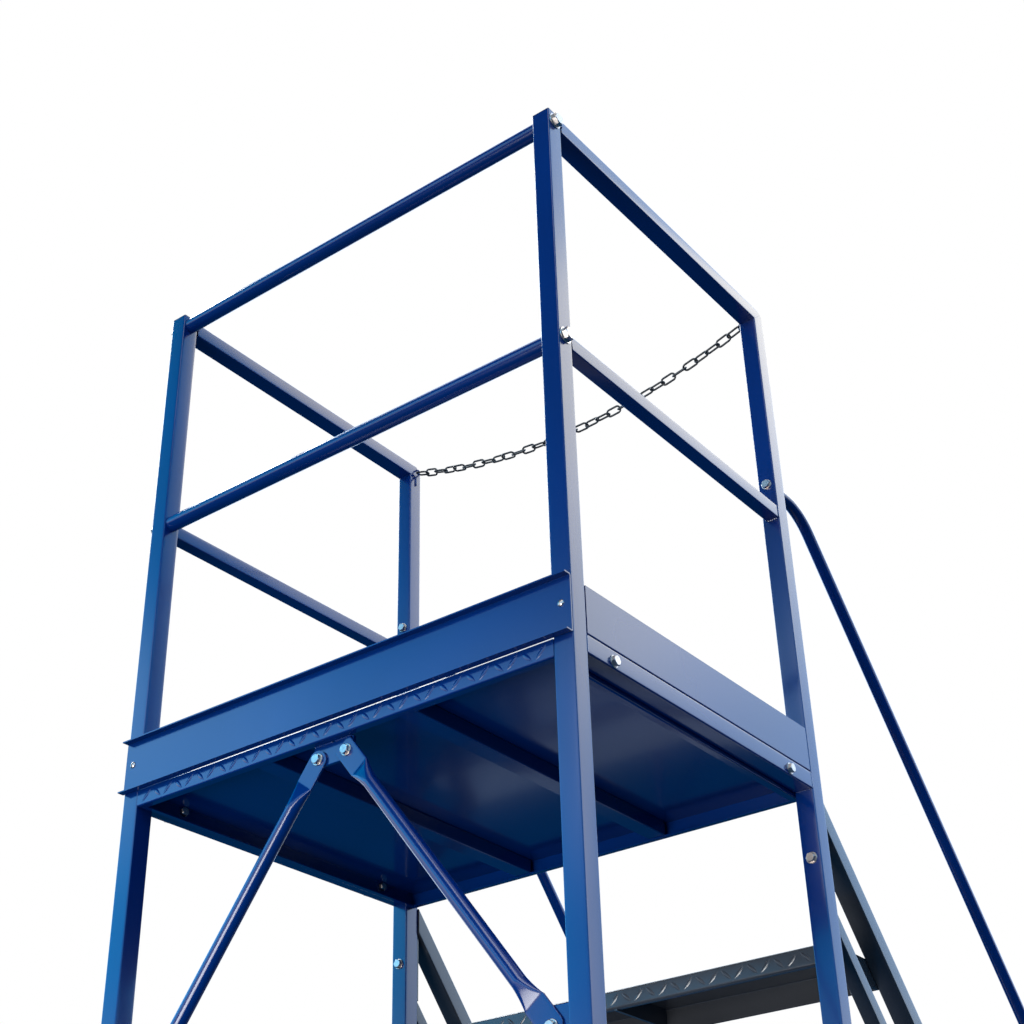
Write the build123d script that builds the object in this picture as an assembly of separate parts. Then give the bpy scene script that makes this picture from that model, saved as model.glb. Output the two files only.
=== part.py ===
from build123d import *
import math
import os

# Warehouse step ladder with a guarded platform, in millimetres.
# X runs across (the climber's right is +X), Y from the foot of the flight to the back, Z up from the floor.

# Platform frame
outer_width = 1075.0        # over the posts, across
outer_depth = 838.0         # over the posts, front to back
deck_height = 2700.0        # floor to the top of the deck
guard_height = 1165.0       # deck to the top of the back posts
post_size = 40.0
post_wall = 2.0
post_radius = 2.4
weld_fill = 45.0            # solid length at a mitred corner

# Side rails of the guard
top_rail_height = 33.0
top_rail_drop = 2.0         # the back post stands this much above the rail
mid_rail_size = 30.0
mid_rail_top = 622.0        # above the deck
mid_rail_inset = 1.0        # from the outer face of the posts
rail_wall = 2.0
rail_radius = 2.4
saw_gap = 4.0               # gap under a rail's end, from a slanted saw cut
corner_chamfer = 18.0

# Back rails of the guard
back_rail_diameter = 33.7
back_rail_wall = 2.6
back_rail_top = 1144.0      # axis above the deck
back_rail_mid = 611.0
rail_plug_length = 30.0

# Toe boards and side beams
toe_lift = 10.0             # underside of the side toe boards above the deck
side_toe_height = 91.5
side_toe_gap = 2.0          # to each post
side_toe_foot = 28.0        # flange that rests on the beam
toe_thickness = 2.5
back_toe_height = 100.0
back_toe_lift = 6.0         # above the deck
back_toe_flange = 17.0
beam_height = 35.0
beam_wall = 2.5
beam_radius = 7.0

# Deck
deck_setback = 18.0         # front face of the posts to the deck's front edge
deck_thickness = 3.0
deck_fold = 35.0
deck_lip = 15.0
rib_width = 40.0
rib_height = 30.0
rib_wall = 2.0
rib_spread = 172.0          # middle of the platform to the middle of a rib

# Braces under the deck
brace_diameter = 26.9
brace_wall = 2.0
brace_flat_width = 42.0
brace_flat_thickness = 4.5
brace_flat_reach = 50.0     # bolt to the start of the taper
brace_flat_end = 17.0       # bolt to the cut end
brace_taper = 40.0
brace_spread = 34.0         # middle to an upper bolt
brace_top_drop = 62.0       # below the deck
brace_foot_drop = 618.0
brace_foot_inset = 40.0     # inner face of a back post to the lower bolt
brace_plate = 6.0
bracket_width = 94.0
bracket_depth = 18.0        # plate's front from the back face of the posts
bracket_end = 14.0          # upper bolts to the plate's lower edge
lug_height = 64.0
lug_end = 24.0              # lower bolt to the lug's end

# Flight
rise_count = 9
going_length = 258.0        # one nosing to the next, level
stringer_drop = 30.0        # deck to the flight's top edge at the front posts
stringer_height = 37.0
stringer_thickness = 40.0
stringer_inset = 4.0        # from the outer face of the posts
lower_bar_size = 30.0
bar_gap = 98.0
bar_wall = 2.0
bar_radius = 2.4
hanger_width = 28.0
hanger_thickness = 6.0
hanger_bolt_drop = 161.0    # below the deck
tread_depth = 197.0
tread_thickness = 3.0
tread_front_fold = 52.0
tread_rear_fold = 39.0
tread_lip = 12.0
tread_end = 4.0
tread_tab = 48.0            # length of the tab that meets the lower bar
tread_rib_height = 42.0
tread_rib_thickness = 6.0

# Handrails
handrail_diameter = 26.9
handrail_wall = 2.0
handrail_top = 682.0        # axis above the deck at the front posts
handrail_height = 822.0     # axis above the line of the nosings
handrail_bend = 130.0
handrail_foot = 1960.0      # front posts to the lower leg
stanchion_place = 1120.0    # front posts to the middle upright
foot_plate_length = 90.0
foot_plate_thickness = 5.0
handrail_plug = 25.0

# Base
base_top = 200.0
base_size = 40.0
base_wall = 2.5
base_overhang = 40.0        # past the foot of the flight
tie_height = 1150.0         # floor to the middle of a side tie
pad_length = 110.0
pad_width = 100.0
pad_thickness = 8.0

# Castors
wheel_diameter = 125.0
wheel_width = 36.0
rim_diameter = 96.0
hub_diameter = 42.0
web_thickness = 10.0
axle_diameter = 12.0
wheel_side_gap = 3.0
castor_plate_length = 100.0
castor_plate_width = 92.0
castor_plate_thickness = 4.0
castor_hole_spacing_x = 72.0
castor_hole_spacing_y = 80.0
cheek_thickness = 4.0
cheek_width = 44.0
crown_thickness = 6.0
race_diameter = 56.0
race_height = 9.0
kingpin_diameter = 12.0
kingpin_head = 20.0
kingpin_head_height = 4.0
swivel_gap = 0.5
trail = 38.0
swivel_inset = 155.0        # front end of the base to a kingpin
pedal_out = 58.0            # axle to the pedal's pivot, along the trail
pedal_up = 40.0
pedal_hub = 14.0
pedal_pin = 8.0
pedal_reach = 55.0
pedal_width = 34.0
pedal_plate = 4.0
pedal_tilt = 12.0

# Safety chain
link_wire = 4.0
link_inner_length = 32.3
link_inner_width = 8.0
link_slack = 0.25
chain_slack = 1.012         # least chain length against its span
eye_drop = 27.0             # top of the side rail to where a link hangs
eye_reach = 12.0            # inner face of a front post to the middle of the eye's wire
eye_wire = 4.0
eye_bend = 10.0
eye_tail = 34.0             # tail of the eye, below where the link hangs
eye_play = 0.5              # eye to its link

# Fasteners
rail_bolt = 16.0
rail_bolt_flats = 24.0
rail_bolt_head = 11.0
rail_washer_margin = 5.0
frame_bolt = 10.0
frame_bolt_flats = 17.0
frame_bolt_head = 6.4
castor_bolt = 8.0
castor_bolt_flats = 13.0
castor_bolt_head = 5.3
toe_screw = 6.0
toe_screw_head = 13.0
toe_screw_dome = 3.6
washer_thickness = 2.0
washer_margin = 3.0         # past the head's flats, all round
nut_height = 8.0
hole_play = 0.5             # round a bolt
thread_play = 0.05          # round a screwed-in shank
run_play = 0.05             # round a turning pin
seat_play = 0.1             # a tyre on its rim, a plug in its tube
beam_bolt_back = 116.0      # back face to a beam bolt
beam_bolt_front = 128.0     # front face to a beam bolt
beam_bolt_drop = 12.0       # below the deck
cap_thickness = 2.0
cap_depth = 12.0
cut_past = 1.0              # how far a cut runs past the face that it opens

# Places worked out from the sizes above
rise = deck_height / rise_count
run_per_drop = going_length / rise
pitch = math.atan2(rise, going_length)
flight_run = (deck_height - stringer_drop - base_top) * run_per_drop
base_length = outer_depth + flight_run + base_overhang
back_face = (base_length + cap_thickness - back_toe_flange) / 2
front_face = back_face - outer_depth
base_front = back_face - base_length
half_width = outer_width / 2
inner_face = half_width - post_size
post_x = half_width - post_size / 2
back_post_y = back_face - post_size / 2
front_post_y = front_face + post_size / 2
post_top = deck_height + guard_height
rail_top = post_top - top_rail_drop
rail_bottom = rail_top - top_rail_height
deck_depth = outer_depth - deck_setback
beam_top = deck_height + toe_lift
beam_bottom = beam_top - beam_height
beam_ys = (back_face - beam_bolt_back, front_face + beam_bolt_front)
beam_bolt_z = deck_height - beam_bolt_drop
hanger_z = deck_height - hanger_bolt_drop
handrail_z = deck_height + handrail_top
toe_screw_z = deck_height + back_toe_lift + back_toe_height / 2
base_bottom = base_top - base_size
pad_bottom = base_bottom - pad_thickness
castor_plate_bottom = pad_bottom - castor_plate_thickness
pad_x = half_width - pad_width / 2
back_pad_y = back_face - pad_length / 2
swivel_y = base_front + swivel_inset
wheel_radius = wheel_diameter / 2
rail_bolt_z = (deck_height + back_rail_top, deck_height + back_rail_mid)
bar_x = half_width - stringer_inset - stringer_thickness / 2
flight_inner = bar_x - stringer_thickness / 2
lower_inner = bar_x - lower_bar_size / 2
eye_x = inner_face - eye_reach
eye_z = rail_top - eye_drop
chain_span = 2 * eye_x
link_spacing = link_inner_length - link_slack
end_spacing = (link_inner_length - eye_wire) / 2 - eye_play
link_pairs = math.ceil((chain_span * chain_slack - 2 * end_spacing) / (2 * link_spacing))
link_count = 2 * link_pairs + 1
chain_length = 2 * link_pairs * link_spacing + 2 * end_spacing
chain_sag = chain_span * math.sqrt(3 / 8 * (chain_length / chain_span - 1))
chain_end_slope = math.atan2(4 * chain_sag, chain_span)


def plane_x(x, y, z):
    return Plane((x, y, z), x_dir=(0, 1, 0), z_dir=(1, 0, 0))


def plane_y(x, y, z):
    return Plane((x, y, z), x_dir=(1, 0, 0), z_dir=(0, -1, 0))


def plane_z(x, y, z):
    return Plane((x, y, z), x_dir=(1, 0, 0), z_dir=(0, 0, 1))


def block(x0, x1, y0, y1, z0, z1):
    return Pos((x0 + x1) / 2, (y0 + y1) / 2, (z0 + z1) / 2) * Box(x1 - x0, y1 - y0, z1 - z0)


def rod(plane, length, diameter):
    return extrude(plane * Circle(diameter / 2), amount=length)


def square_tube(plane, length, width, height, wall, radius):
    outer = RectangleRounded(width, height, radius)
    inner = RectangleRounded(width - 2 * wall, height - 2 * wall, radius - wall / 2)
    return extrude(plane * (outer - inner), amount=length)


def side_plate(x0, x1, points):
    return extrude(plane_x(x0, 0, 0) * Polygon(*points, align=None), amount=x1 - x0, dir=(1, 0, 0))


def hex_bolt(plane, diameter, flats, head, length, margin=washer_margin):
    # Head and washer stand above the plane, the shank runs down from it.
    washer = extrude(plane * Circle(flats / 2 + margin), amount=washer_thickness)
    hexagon = RegularPolygon(flats / 2, 6, major_radius=False)
    cap = extrude(plane.offset(washer_thickness) * hexagon, amount=head)
    shank = extrude(plane * Circle(diameter / 2), amount=-length)
    return washer + cap + shank


def frame_hex(plane, grip):
    return hex_bolt(plane, frame_bolt, frame_bolt_flats, frame_bolt_head, grip)


def frame_nut(plane):
    outline = RegularPolygon(frame_bolt_flats / 2, 6, major_radius=False)
    outline -= Circle(frame_bolt / 2 + thread_play)
    return extrude(plane * outline, amount=nut_height)


def frame_hole(plane, depth):
    # Starts a little before the plane so that it breaks through both faces
    circle = Circle(frame_bolt / 2 + hole_play)
    return extrude(plane.offset(-cut_past) * circle, amount=depth + 2 * cut_past)


def both_sides(piece):
    return [piece, mirror(piece, about=Plane.YZ)]


def group(pieces):
    return Compound([solid for piece in pieces for solid in piece.solids()])


def nosing_line(y):
    return deck_height - stringer_drop + (y - front_face) / run_per_drop


# Posts, on the +X side; the other side is a mirror image
def back_post():
    post = square_tube(plane_z(post_x, back_post_y, base_top), post_top - base_top, post_size, post_size,
                       post_wall, post_radius)
    for z in rail_bolt_z:
        post -= rod(plane_x(inner_face - cut_past, back_post_y, z), post_size + 2 * cut_past,
                    rail_bolt + 2 * hole_play)
    post -= rod(plane_y(post_x, back_face + cut_past, toe_screw_z), post_size / 2,
                toe_screw + 2 * thread_play)
    return post


def corner_cut():
    # What is sawn off the outer corner of the mitre
    reach = corner_chamfer + cut_past
    y0 = front_face - cut_past
    z1 = rail_top + cut_past
    return side_plate(inner_face - cut_past, half_width + cut_past, [
        (y0, rail_top - reach), (front_face + reach, z1), (y0, z1)])


def front_post():
    height = rail_top - base_top
    post = square_tube(plane_z(post_x, front_post_y, base_top), height, post_size, post_size,
                       post_wall, post_radius)
    fill = post_size - 2 * post_wall
    fill_height = weld_fill + top_rail_height
    post += extrude(plane_z(post_x, front_post_y, rail_top - fill_height) * Rectangle(fill, fill),
                    amount=fill_height)
    y1 = front_face + post_size
    z1 = rail_top + cut_past
    post -= side_plate(inner_face - cut_past, half_width + cut_past, [
        (front_face, rail_top), (y1, rail_bottom), (y1 + cut_past, rail_bottom), (y1 + cut_past, z1),
        (front_face, z1)])
    post -= corner_cut()
    for z in (handrail_z, hanger_z):
        post -= frame_hole(plane_y(post_x, front_face + post_size, z), post_size)
    return post


def side_top_rail():
    start = back_face - post_size
    rail = square_tube(plane_y(post_x, start, (rail_top + rail_bottom) / 2), start - front_face, post_size,
                       top_rail_height, rail_wall, rail_radius)
    fill_y = front_face + post_size + weld_fill
    rail += block(inner_face + rail_wall, half_width - rail_wall, front_face + rail_wall, fill_y,
                  rail_bottom + rail_wall, rail_top - rail_wall)
    y1 = front_face + post_size
    z0 = rail_bottom - cut_past
    rail -= side_plate(inner_face - cut_past, half_width + cut_past, [
        (front_face, rail_top), (y1, rail_bottom), (y1, z0), (front_face - cut_past, z0),
        (front_face - cut_past, rail_top)])
    rail -= corner_cut()
    rail -= saw_cut(inner_face, half_width, start, rail_bottom, rail_top)
    return rail


def saw_cut(x0, x1, y, z0, z1):
    # The slanted cut leaves a gap that opens downwards beside the back post
    low = z0 - cut_past
    return side_plate(x0 - cut_past, x1 + cut_past, [
        (y, z1), (y - saw_gap, low), (y + cut_past, low), (y + cut_past, z1)])


def side_mid_rail():
    start = back_face - post_size
    z1 = deck_height + mid_rail_top
    x1 = half_width - mid_rail_inset
    plane = plane_y(x1 - mid_rail_size / 2, start, z1 - mid_rail_size / 2)
    rail = square_tube(plane, outer_depth - 2 * post_size, mid_rail_size, mid_rail_size,
                       rail_wall, rail_radius)
    return rail - saw_cut(x1 - mid_rail_size, x1, start, z1 - mid_rail_size, z1)


def side_beam():
    start = back_face - post_size
    beam = square_tube(plane_y(post_x, start, (beam_top + beam_bottom) / 2), outer_depth - 2 * post_size,
                       post_size, beam_height, beam_wall, beam_radius)
    for y in beam_ys:
        beam -= frame_hole(plane_x(inner_face, y, beam_bolt_z), post_size)
    return beam


def side_toe_board():
    # An angle: the plate is flush with the posts and its foot rests on the beam
    y0 = front_face + post_size + side_toe_gap
    y1 = back_face - post_size - side_toe_gap
    plate = block(half_width - toe_thickness, half_width, y0, y1, beam_top, beam_top + side_toe_height)
    return plate + block(half_width - side_toe_foot, half_width, y0, y1, beam_top, beam_top + toe_thickness)


# Back of the platform
def back_rail(height):
    z = deck_height + height
    rail = extrude(plane_x(-inner_face, back_post_y, z)
                   * (Circle(back_rail_diameter / 2) - Circle(back_rail_diameter / 2 - back_rail_wall)),
                   amount=2 * inner_face)
    plug_x = inner_face - rail_plug_length
    plug = rod(plane_x(plug_x, back_post_y, z), rail_plug_length, back_rail_diameter - back_rail_wall)
    hole = rod(plane_x(plug_x - cut_past, back_post_y, z), rail_plug_length + 2 * cut_past,
               rail_bolt + 2 * thread_play)
    for piece in both_sides(plug):
        rail += piece
    for piece in both_sides(hole):
        rail -= piece
    return rail


def back_toe_board():
    z0 = deck_height + back_toe_lift
    z1 = z0 + back_toe_height
    y1 = back_face + back_toe_flange
    board = block(-half_width, half_width, back_face, y1, z0, z1)
    x1 = half_width + cut_past
    board -= block(-x1, x1, back_face + toe_thickness, y1 + cut_past, z0 + toe_thickness, z1 - toe_thickness)
    for x in (-post_x, post_x):
        board -= rod(plane_y(x, y1, toe_screw_z), back_toe_flange + cut_past, toe_screw + 2 * hole_play)
    return board


# Deck tray with lips turned in under its folds
def deck():
    x1 = inner_face
    y0 = back_face - deck_depth
    z0 = deck_height - deck_fold
    t = deck_thickness
    tray = block(-x1, x1, y0, back_face, z0, deck_height)
    tray -= block(-x1 + t, x1 - t, y0 + t, back_face - t, z0 + t, deck_height - t)
    x2 = x1 - deck_lip
    tray -= block(-x2, x2, y0 + deck_lip, back_face - deck_lip, z0 - cut_past, z0 + t + cut_past)
    for y in beam_ys:
        for hole in both_sides(frame_hole(plane_x(x1 - t, y, beam_bolt_z), t)):
            tray -= hole
    return tray


def deck_rib():
    z = deck_height - deck_thickness - rib_height / 2
    start = back_face - deck_lip
    return square_tube(plane_y(rib_spread, start, z), deck_depth - 2 * deck_lip, rib_width, rib_height,
                       rib_wall, rail_radius)


# Braces, flattened at both ends and bolted to the bracket and to a lug
brace_y = back_face - bracket_depth
brace_top_z = deck_height - brace_top_drop
brace_foot_z = deck_height - brace_foot_drop
brace_foot_x = inner_face - brace_foot_inset


def brace_bracket():
    z1 = deck_height - deck_fold
    z0 = brace_top_z - bracket_end
    plate = block(-bracket_width / 2, bracket_width / 2, brace_y - brace_plate, brace_y, z0, z1)
    for x in (-brace_spread, brace_spread):
        plate -= frame_hole(plane_y(x, brace_y, brace_top_z), brace_plate)
    return plate


def brace_lug():
    x0 = brace_foot_x - lug_end
    lug = block(x0, inner_face, brace_y - brace_plate, brace_y, brace_foot_z - lug_height / 2,
                brace_foot_z + lug_height / 2)
    return lug - frame_hole(plane_y(brace_foot_x, brace_y, brace_foot_z), brace_plate)


def brace():
    head = Vector(brace_spread, brace_y + brace_flat_thickness / 2, brace_top_z)
    foot = Vector(brace_foot_x, brace_y + brace_flat_thickness / 2, brace_foot_z)
    length = (foot - head).length
    axis = Plane(head, x_dir=(0, 1, 0), z_dir=foot - head)
    flat = Rectangle(brace_flat_thickness, brace_flat_width)
    bar = extrude(axis.offset(-brace_flat_end) * flat, amount=brace_flat_end + brace_flat_reach)
    bar += extrude(axis.offset(length - brace_flat_reach) * flat, amount=brace_flat_reach + brace_flat_end)
    tube_start = brace_flat_reach + brace_taper
    tube_length = length - 2 * tube_start
    bar += extrude(axis.offset(tube_start) * Circle(brace_diameter / 2), amount=tube_length)
    bar -= extrude(axis.offset(tube_start) * Circle(brace_diameter / 2 - brace_wall), amount=tube_length)
    squeezed = Ellipse(brace_flat_thickness / 2, brace_flat_width / 2)
    for start, end in ((brace_flat_reach, tube_start), (length - brace_flat_reach, length - tube_start)):
        bar += loft([axis.offset(start) * squeezed, axis.offset(end) * Circle(brace_diameter / 2)])
    for place in (0, length):
        hole = Plane(axis.offset(place).origin, x_dir=(1, 0, 0), z_dir=(0, 1, 0))
        bar -= extrude(hole * Circle(frame_bolt / 2 + hole_play), amount=brace_flat_width, both=True)
    return bar


# Flight: two sloping bars on each side, treads welded between them
def slope_band(top, depth):
    # A band below the line of the nosings, from the front posts down to the base
    drop_top = top / math.cos(pitch)
    drop_bottom = (top + depth) / math.cos(pitch)
    head = nosing_line(front_face)
    foot_top = front_face - (head - drop_top - base_top) * run_per_drop
    foot_bottom = front_face - (head - drop_bottom - base_top) * run_per_drop
    return [(front_face, head - drop_top), (foot_top, base_top), (foot_bottom, base_top),
            (front_face, head - drop_bottom)]


def sloping_bar(x0, x1, top, depth):
    bar = side_plate(x0, x1, slope_band(top, depth))
    slope = Axis((0, 0, 0), (0, going_length, rise))
    bar = fillet(bar.edges().filter_by(slope), bar_radius)
    return bar - side_plate(x0 + bar_wall, x1 - bar_wall, slope_band(top + bar_wall, depth - 2 * bar_wall))


def upper_bar():
    return sloping_bar(flight_inner, flight_inner + stringer_thickness, 0, stringer_height)


def lower_bar():
    return sloping_bar(lower_inner, lower_inner + lower_bar_size, stringer_height + bar_gap, lower_bar_size)


def stringer_hanger():
    z1 = nosing_line(front_face) - stringer_height / math.cos(pitch)
    z0 = nosing_line(front_face) - (stringer_height + bar_gap) / math.cos(pitch)
    half = hanger_width / 2
    plate = block(bar_x - half, bar_x + half, front_face - hanger_thickness, front_face, z0, z1)
    plate -= side_plate(flight_inner, half_width, slope_band(0, stringer_height))
    return plate - frame_hole(plane_y(post_x, front_face, hanger_z), hanger_thickness)


def tread(step):
    z1 = deck_height - step * rise
    y0 = front_face - (step * rise - stringer_drop) * run_per_drop
    y1 = y0 + tread_depth
    x1 = flight_inner
    t = tread_thickness
    z0 = z1 - tread_front_fold
    rear = z1 - tread_rear_fold
    plate = block(-x1, x1, y0, y1, z1 - t, z1)
    plate += block(-x1, x1, y0, y0 + t, z0, z1)
    plate += block(-x1, x1, y1 - t, y1, rear, z1)
    plate += block(-x1, x1, y1 - tread_lip, y1, rear, rear + t)
    rib = tread_rib_thickness / 2
    plate += block(-rib, rib, y0 + t, y1 - t, z1 - tread_rib_height, z1 - t)
    ends = both_sides(block(x1 - tread_end, x1, y0, y1, z0, z1))
    ends += both_sides(block(x1 - tread_end, lower_inner, y1 - tread_tab, y1, z0, z1 - t))
    for end in ends:
        plate += end
    return plate


# Handrail: level out of the front post, down along the flight, then upright to the stringer
handrail_line = handrail_height - stringer_drop
handrail_corner = front_face - (handrail_line - handrail_top) * run_per_drop
handrail_leg_y = front_face - handrail_foot


def handrail_route():
    leg_z = nosing_line(handrail_leg_y)
    return FilletPolyline(
        (post_x, front_face, handrail_z),
        (post_x, handrail_corner, handrail_z),
        (post_x, handrail_leg_y, leg_z + handrail_height),
        (post_x, handrail_leg_y, leg_z - handrail_diameter),
        radius=handrail_bend)


def handrail():
    route = handrail_route()
    section = Circle(handrail_diameter / 2) - Circle(handrail_diameter / 2 - handrail_wall)
    start = plane_y(post_x, front_face, handrail_z)
    rail = sweep(start * section, path=route)
    rail += rod(start, handrail_plug, handrail_diameter - handrail_wall)
    rail -= rod(start.offset(-cut_past), handrail_plug + 2 * cut_past, frame_bolt + 2 * thread_play)
    return rail - below_flight(handrail_leg_y) + foot_plate(handrail_leg_y)


def foot_plate(y):
    # A plate on the sloping bar, square to the slope
    z = nosing_line(y)
    plane = Plane((bar_x, y, z), x_dir=(1, 0, 0), z_dir=(0, -math.sin(pitch), math.cos(pitch)))
    return extrude(plane * Rectangle(stringer_thickness - 2 * bar_radius, foot_plate_length),
                   amount=foot_plate_thickness)


def below_flight(y):
    # What an upright at this place loses to fit on the sloping bar
    low = nosing_line(y - post_size) - post_size
    return side_plate(flight_inner, half_width, [
        (y - post_size, low), (y + post_size, low), (y + post_size, nosing_line(y + post_size)),
        (y - post_size, nosing_line(y - post_size))])


def stanchion():
    y = front_face - stanchion_place
    z0 = nosing_line(y)
    top = z0 + handrail_height
    section = Circle(handrail_diameter / 2) - Circle(handrail_diameter / 2 - handrail_wall)
    post = extrude(plane_z(post_x, y, z0 - handrail_diameter) * section,
                   amount=handrail_height + handrail_diameter)
    along = Plane((post_x, y, top), x_dir=(1, 0, 0), z_dir=(0, going_length, rise))
    cope = along * Circle(handrail_diameter / 2 + seat_play)
    post -= extrude(cope, amount=handrail_height / 4, both=True)
    post -= below_flight(y)
    kept = post.solids().sort_by(SortBy.VOLUME)[-1]
    return kept + foot_plate(y)


# Base frame
def base_rail():
    return square_tube(plane_y(post_x, back_face, base_bottom + base_size / 2), base_length,
                       base_size, base_size, base_wall, post_radius)


def base_cross(y):
    return square_tube(plane_x(-inner_face, y, base_bottom + base_size / 2), 2 * inner_face,
                       base_size, base_size, base_wall, post_radius)


def side_tie():
    start = back_face - post_size
    x = half_width - mid_rail_inset - mid_rail_size / 2
    return square_tube(plane_y(x, start, tie_height), outer_depth - 2 * post_size,
                       mid_rail_size, mid_rail_size, rail_wall, rail_radius)


def bolt_grid(y):
    return [(pad_x + dx * castor_hole_spacing_x / 2, y + dy * castor_hole_spacing_y / 2)
            for dx in (-1, 1) for dy in (-1, 1)]


def castor_pad(y):
    pad = block(pad_x - pad_width / 2, pad_x + pad_width / 2, y - pad_length / 2, y + pad_length / 2,
                pad_bottom, base_bottom)
    for x, hole_y in bolt_grid(y):
        pad -= rod(plane_z(x, hole_y, pad_bottom - cut_past), pad_thickness + 2 * cut_past,
                   castor_bolt + 2 * thread_play)
    return pad


# Castors, on the +X side
fork_inner = wheel_width / 2 + wheel_side_gap
crown_top = castor_plate_bottom - race_height - swivel_gap
crown_bottom = crown_top - crown_thickness


def castor_plate(y):
    half = castor_plate_width / 2
    reach = castor_plate_length / 2
    plate = block(pad_x - half, pad_x + half, y - reach, y + reach, castor_plate_bottom, pad_bottom)
    for x, hole_y in bolt_grid(y):
        plate -= rod(plane_z(x, hole_y, castor_plate_bottom - cut_past),
                     castor_plate_thickness + 2 * cut_past, castor_bolt + 2 * hole_play)
    return plate


def swivel_plate():
    plate = castor_plate(swivel_y)
    plate += rod(plane_z(pad_x, swivel_y, castor_plate_bottom - race_height), race_height, race_diameter)
    head_top = crown_bottom - swivel_gap
    plate += rod(plane_z(pad_x, swivel_y, head_top), castor_plate_bottom - head_top, kingpin_diameter)
    head = plane_z(pad_x, swivel_y, head_top - kingpin_head_height)
    return plate + rod(head, kingpin_head_height, kingpin_head)


def cheek(axle_y, outline):
    piece = side_plate(pad_x + fork_inner, pad_x + fork_inner + cheek_thickness, outline)
    return piece - rod(plane_x(pad_x, axle_y, wheel_radius), wheel_width * 2, axle_diameter + 2 * hole_play)


def cheek_pair(axle_y, outline):
    piece = cheek(axle_y, outline)
    return [piece, mirror(piece, about=plane_x(pad_x, 0, 0))]


def fixed_bracket():
    half = cheek_width / 2
    top = castor_plate_length / 2 - half / 2
    outline = [(back_pad_y - top, castor_plate_bottom), (back_pad_y - half / 2, wheel_radius - half / 2),
               (back_pad_y + half / 2, wheel_radius - half / 2), (back_pad_y + top, castor_plate_bottom)]
    bracket = castor_plate(back_pad_y)
    for piece in cheek_pair(back_pad_y, outline):
        bracket += piece
    return bracket


axle_y = swivel_y - trail
pivot_y = axle_y - pedal_out
pivot_z = wheel_radius + pedal_up


def castor_fork():
    half = cheek_width / 2
    reach = race_diameter / 2
    low = wheel_radius - half / 2
    outline = [(swivel_y + reach, crown_top), (axle_y, crown_top),
               (pivot_y - pedal_hub, pivot_z + pedal_hub), (pivot_y - pedal_hub, pivot_z - pedal_hub),
               (axle_y - half / 2, low), (axle_y + half / 2, low),
               (swivel_y + reach, crown_bottom - crown_thickness)]
    outer = fork_inner + cheek_thickness
    fork = block(pad_x - outer, pad_x + outer, axle_y, swivel_y + reach, crown_bottom, crown_top)
    for piece in cheek_pair(axle_y, outline):
        fork += piece
    kingpin = kingpin_diameter + 2 * run_play
    fork -= rod(plane_z(pad_x, swivel_y, crown_bottom - cut_past), crown_thickness + 2 * cut_past, kingpin)
    pin = rod(plane_x(pad_x - outer - cut_past, pivot_y, pivot_z), 2 * (outer + cut_past),
              pedal_pin + 2 * run_play)
    return fork - pin


def axle(y):
    outer = fork_inner + cheek_thickness
    plane = plane_x(pad_x + outer, y, wheel_radius)
    bolt = hex_bolt(plane, axle_diameter, axle_diameter * 1.5, frame_bolt_head, 2 * outer + nut_height)
    nut = RegularPolygon(axle_diameter * 0.75, 6, major_radius=False)
    return bolt + extrude(plane_x(pad_x - outer, y, wheel_radius) * nut, amount=-nut_height)


def wheel_core(y):
    rim = rim_diameter / 2
    hub = hub_diameter / 2
    half = wheel_width / 2
    plane = plane_x(pad_x - half, y, wheel_radius)
    core = extrude(plane * (Circle(rim) - Circle(rim - web_thickness / 2)), amount=wheel_width)
    core += extrude(plane_x(pad_x - web_thickness / 2, y, wheel_radius) * Circle(rim), amount=web_thickness)
    core += extrude(plane_x(pad_x - fork_inner + swivel_gap, y, wheel_radius) * Circle(hub),
                    amount=2 * (fork_inner - swivel_gap))
    bore = axle_diameter + 2 * run_play
    return core - rod(plane_x(pad_x - wheel_width, y, wheel_radius), 2 * wheel_width, bore)


def tyre(y):
    half = wheel_width / 2
    plane = plane_x(pad_x - half, y, wheel_radius)
    section = Circle(wheel_radius) - Circle(rim_diameter / 2 + seat_play)
    ring = extrude(plane * section, amount=wheel_width)
    edges = ring.edges().filter_by(GeomType.CIRCLE).sort_by(SortBy.RADIUS)[-2:]
    return fillet(edges, wheel_width / 5)


def brake_pedal():
    outer = fork_inner + cheek_thickness
    hub = fork_inner - swivel_gap
    pedal = rod(plane_x(pad_x - hub, pivot_y, pivot_z), 2 * hub, pedal_hub)
    pedal += rod(plane_x(pad_x - outer, pivot_y, pivot_z), 2 * outer, pedal_pin)
    lever = Box(pedal_width, pedal_reach, pedal_plate, align=(Align.CENTER, Align.MAX, Align.CENTER))
    lever += Pos(0, -pedal_reach / 2, pedal_plate / 2) * Box(pedal_width, pedal_reach / 2, pedal_plate,
                                                             align=(Align.CENTER, Align.MAX, Align.CENTER))
    return pedal + Pos(pad_x, pivot_y, pivot_z) * Rot(X=pedal_tilt) * lever


# Safety chain between wire eyes on the inner faces of the front posts
def chain_eye():
    # A staple whose bend faces the way that the chain pulls, with a tail down the post
    x0 = eye_x + eye_bend * math.cos(chain_end_slope)
    z0 = eye_z + eye_bend * math.sin(chain_end_slope)
    y = front_post_y
    route = Line((inner_face, y, z0 + eye_bend), (x0, y, z0 + eye_bend))
    route += ThreePointArc((x0, y, z0 + eye_bend), (x0 - eye_bend, y, z0), (x0, y, z0 - eye_bend))
    route += Line((x0, y, z0 - eye_bend), (inner_face, y, z0 - eye_bend))
    start = Plane((inner_face, y, z0 + eye_bend), z_dir=(-1, 0, 0))
    staple = sweep(start * Circle(eye_wire / 2), path=route)
    tail_z = eye_z - eye_tail
    return staple + rod(plane_z(inner_face - eye_wire / 2, y, tail_z), z0 - eye_bend - tail_z, eye_wire)


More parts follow.
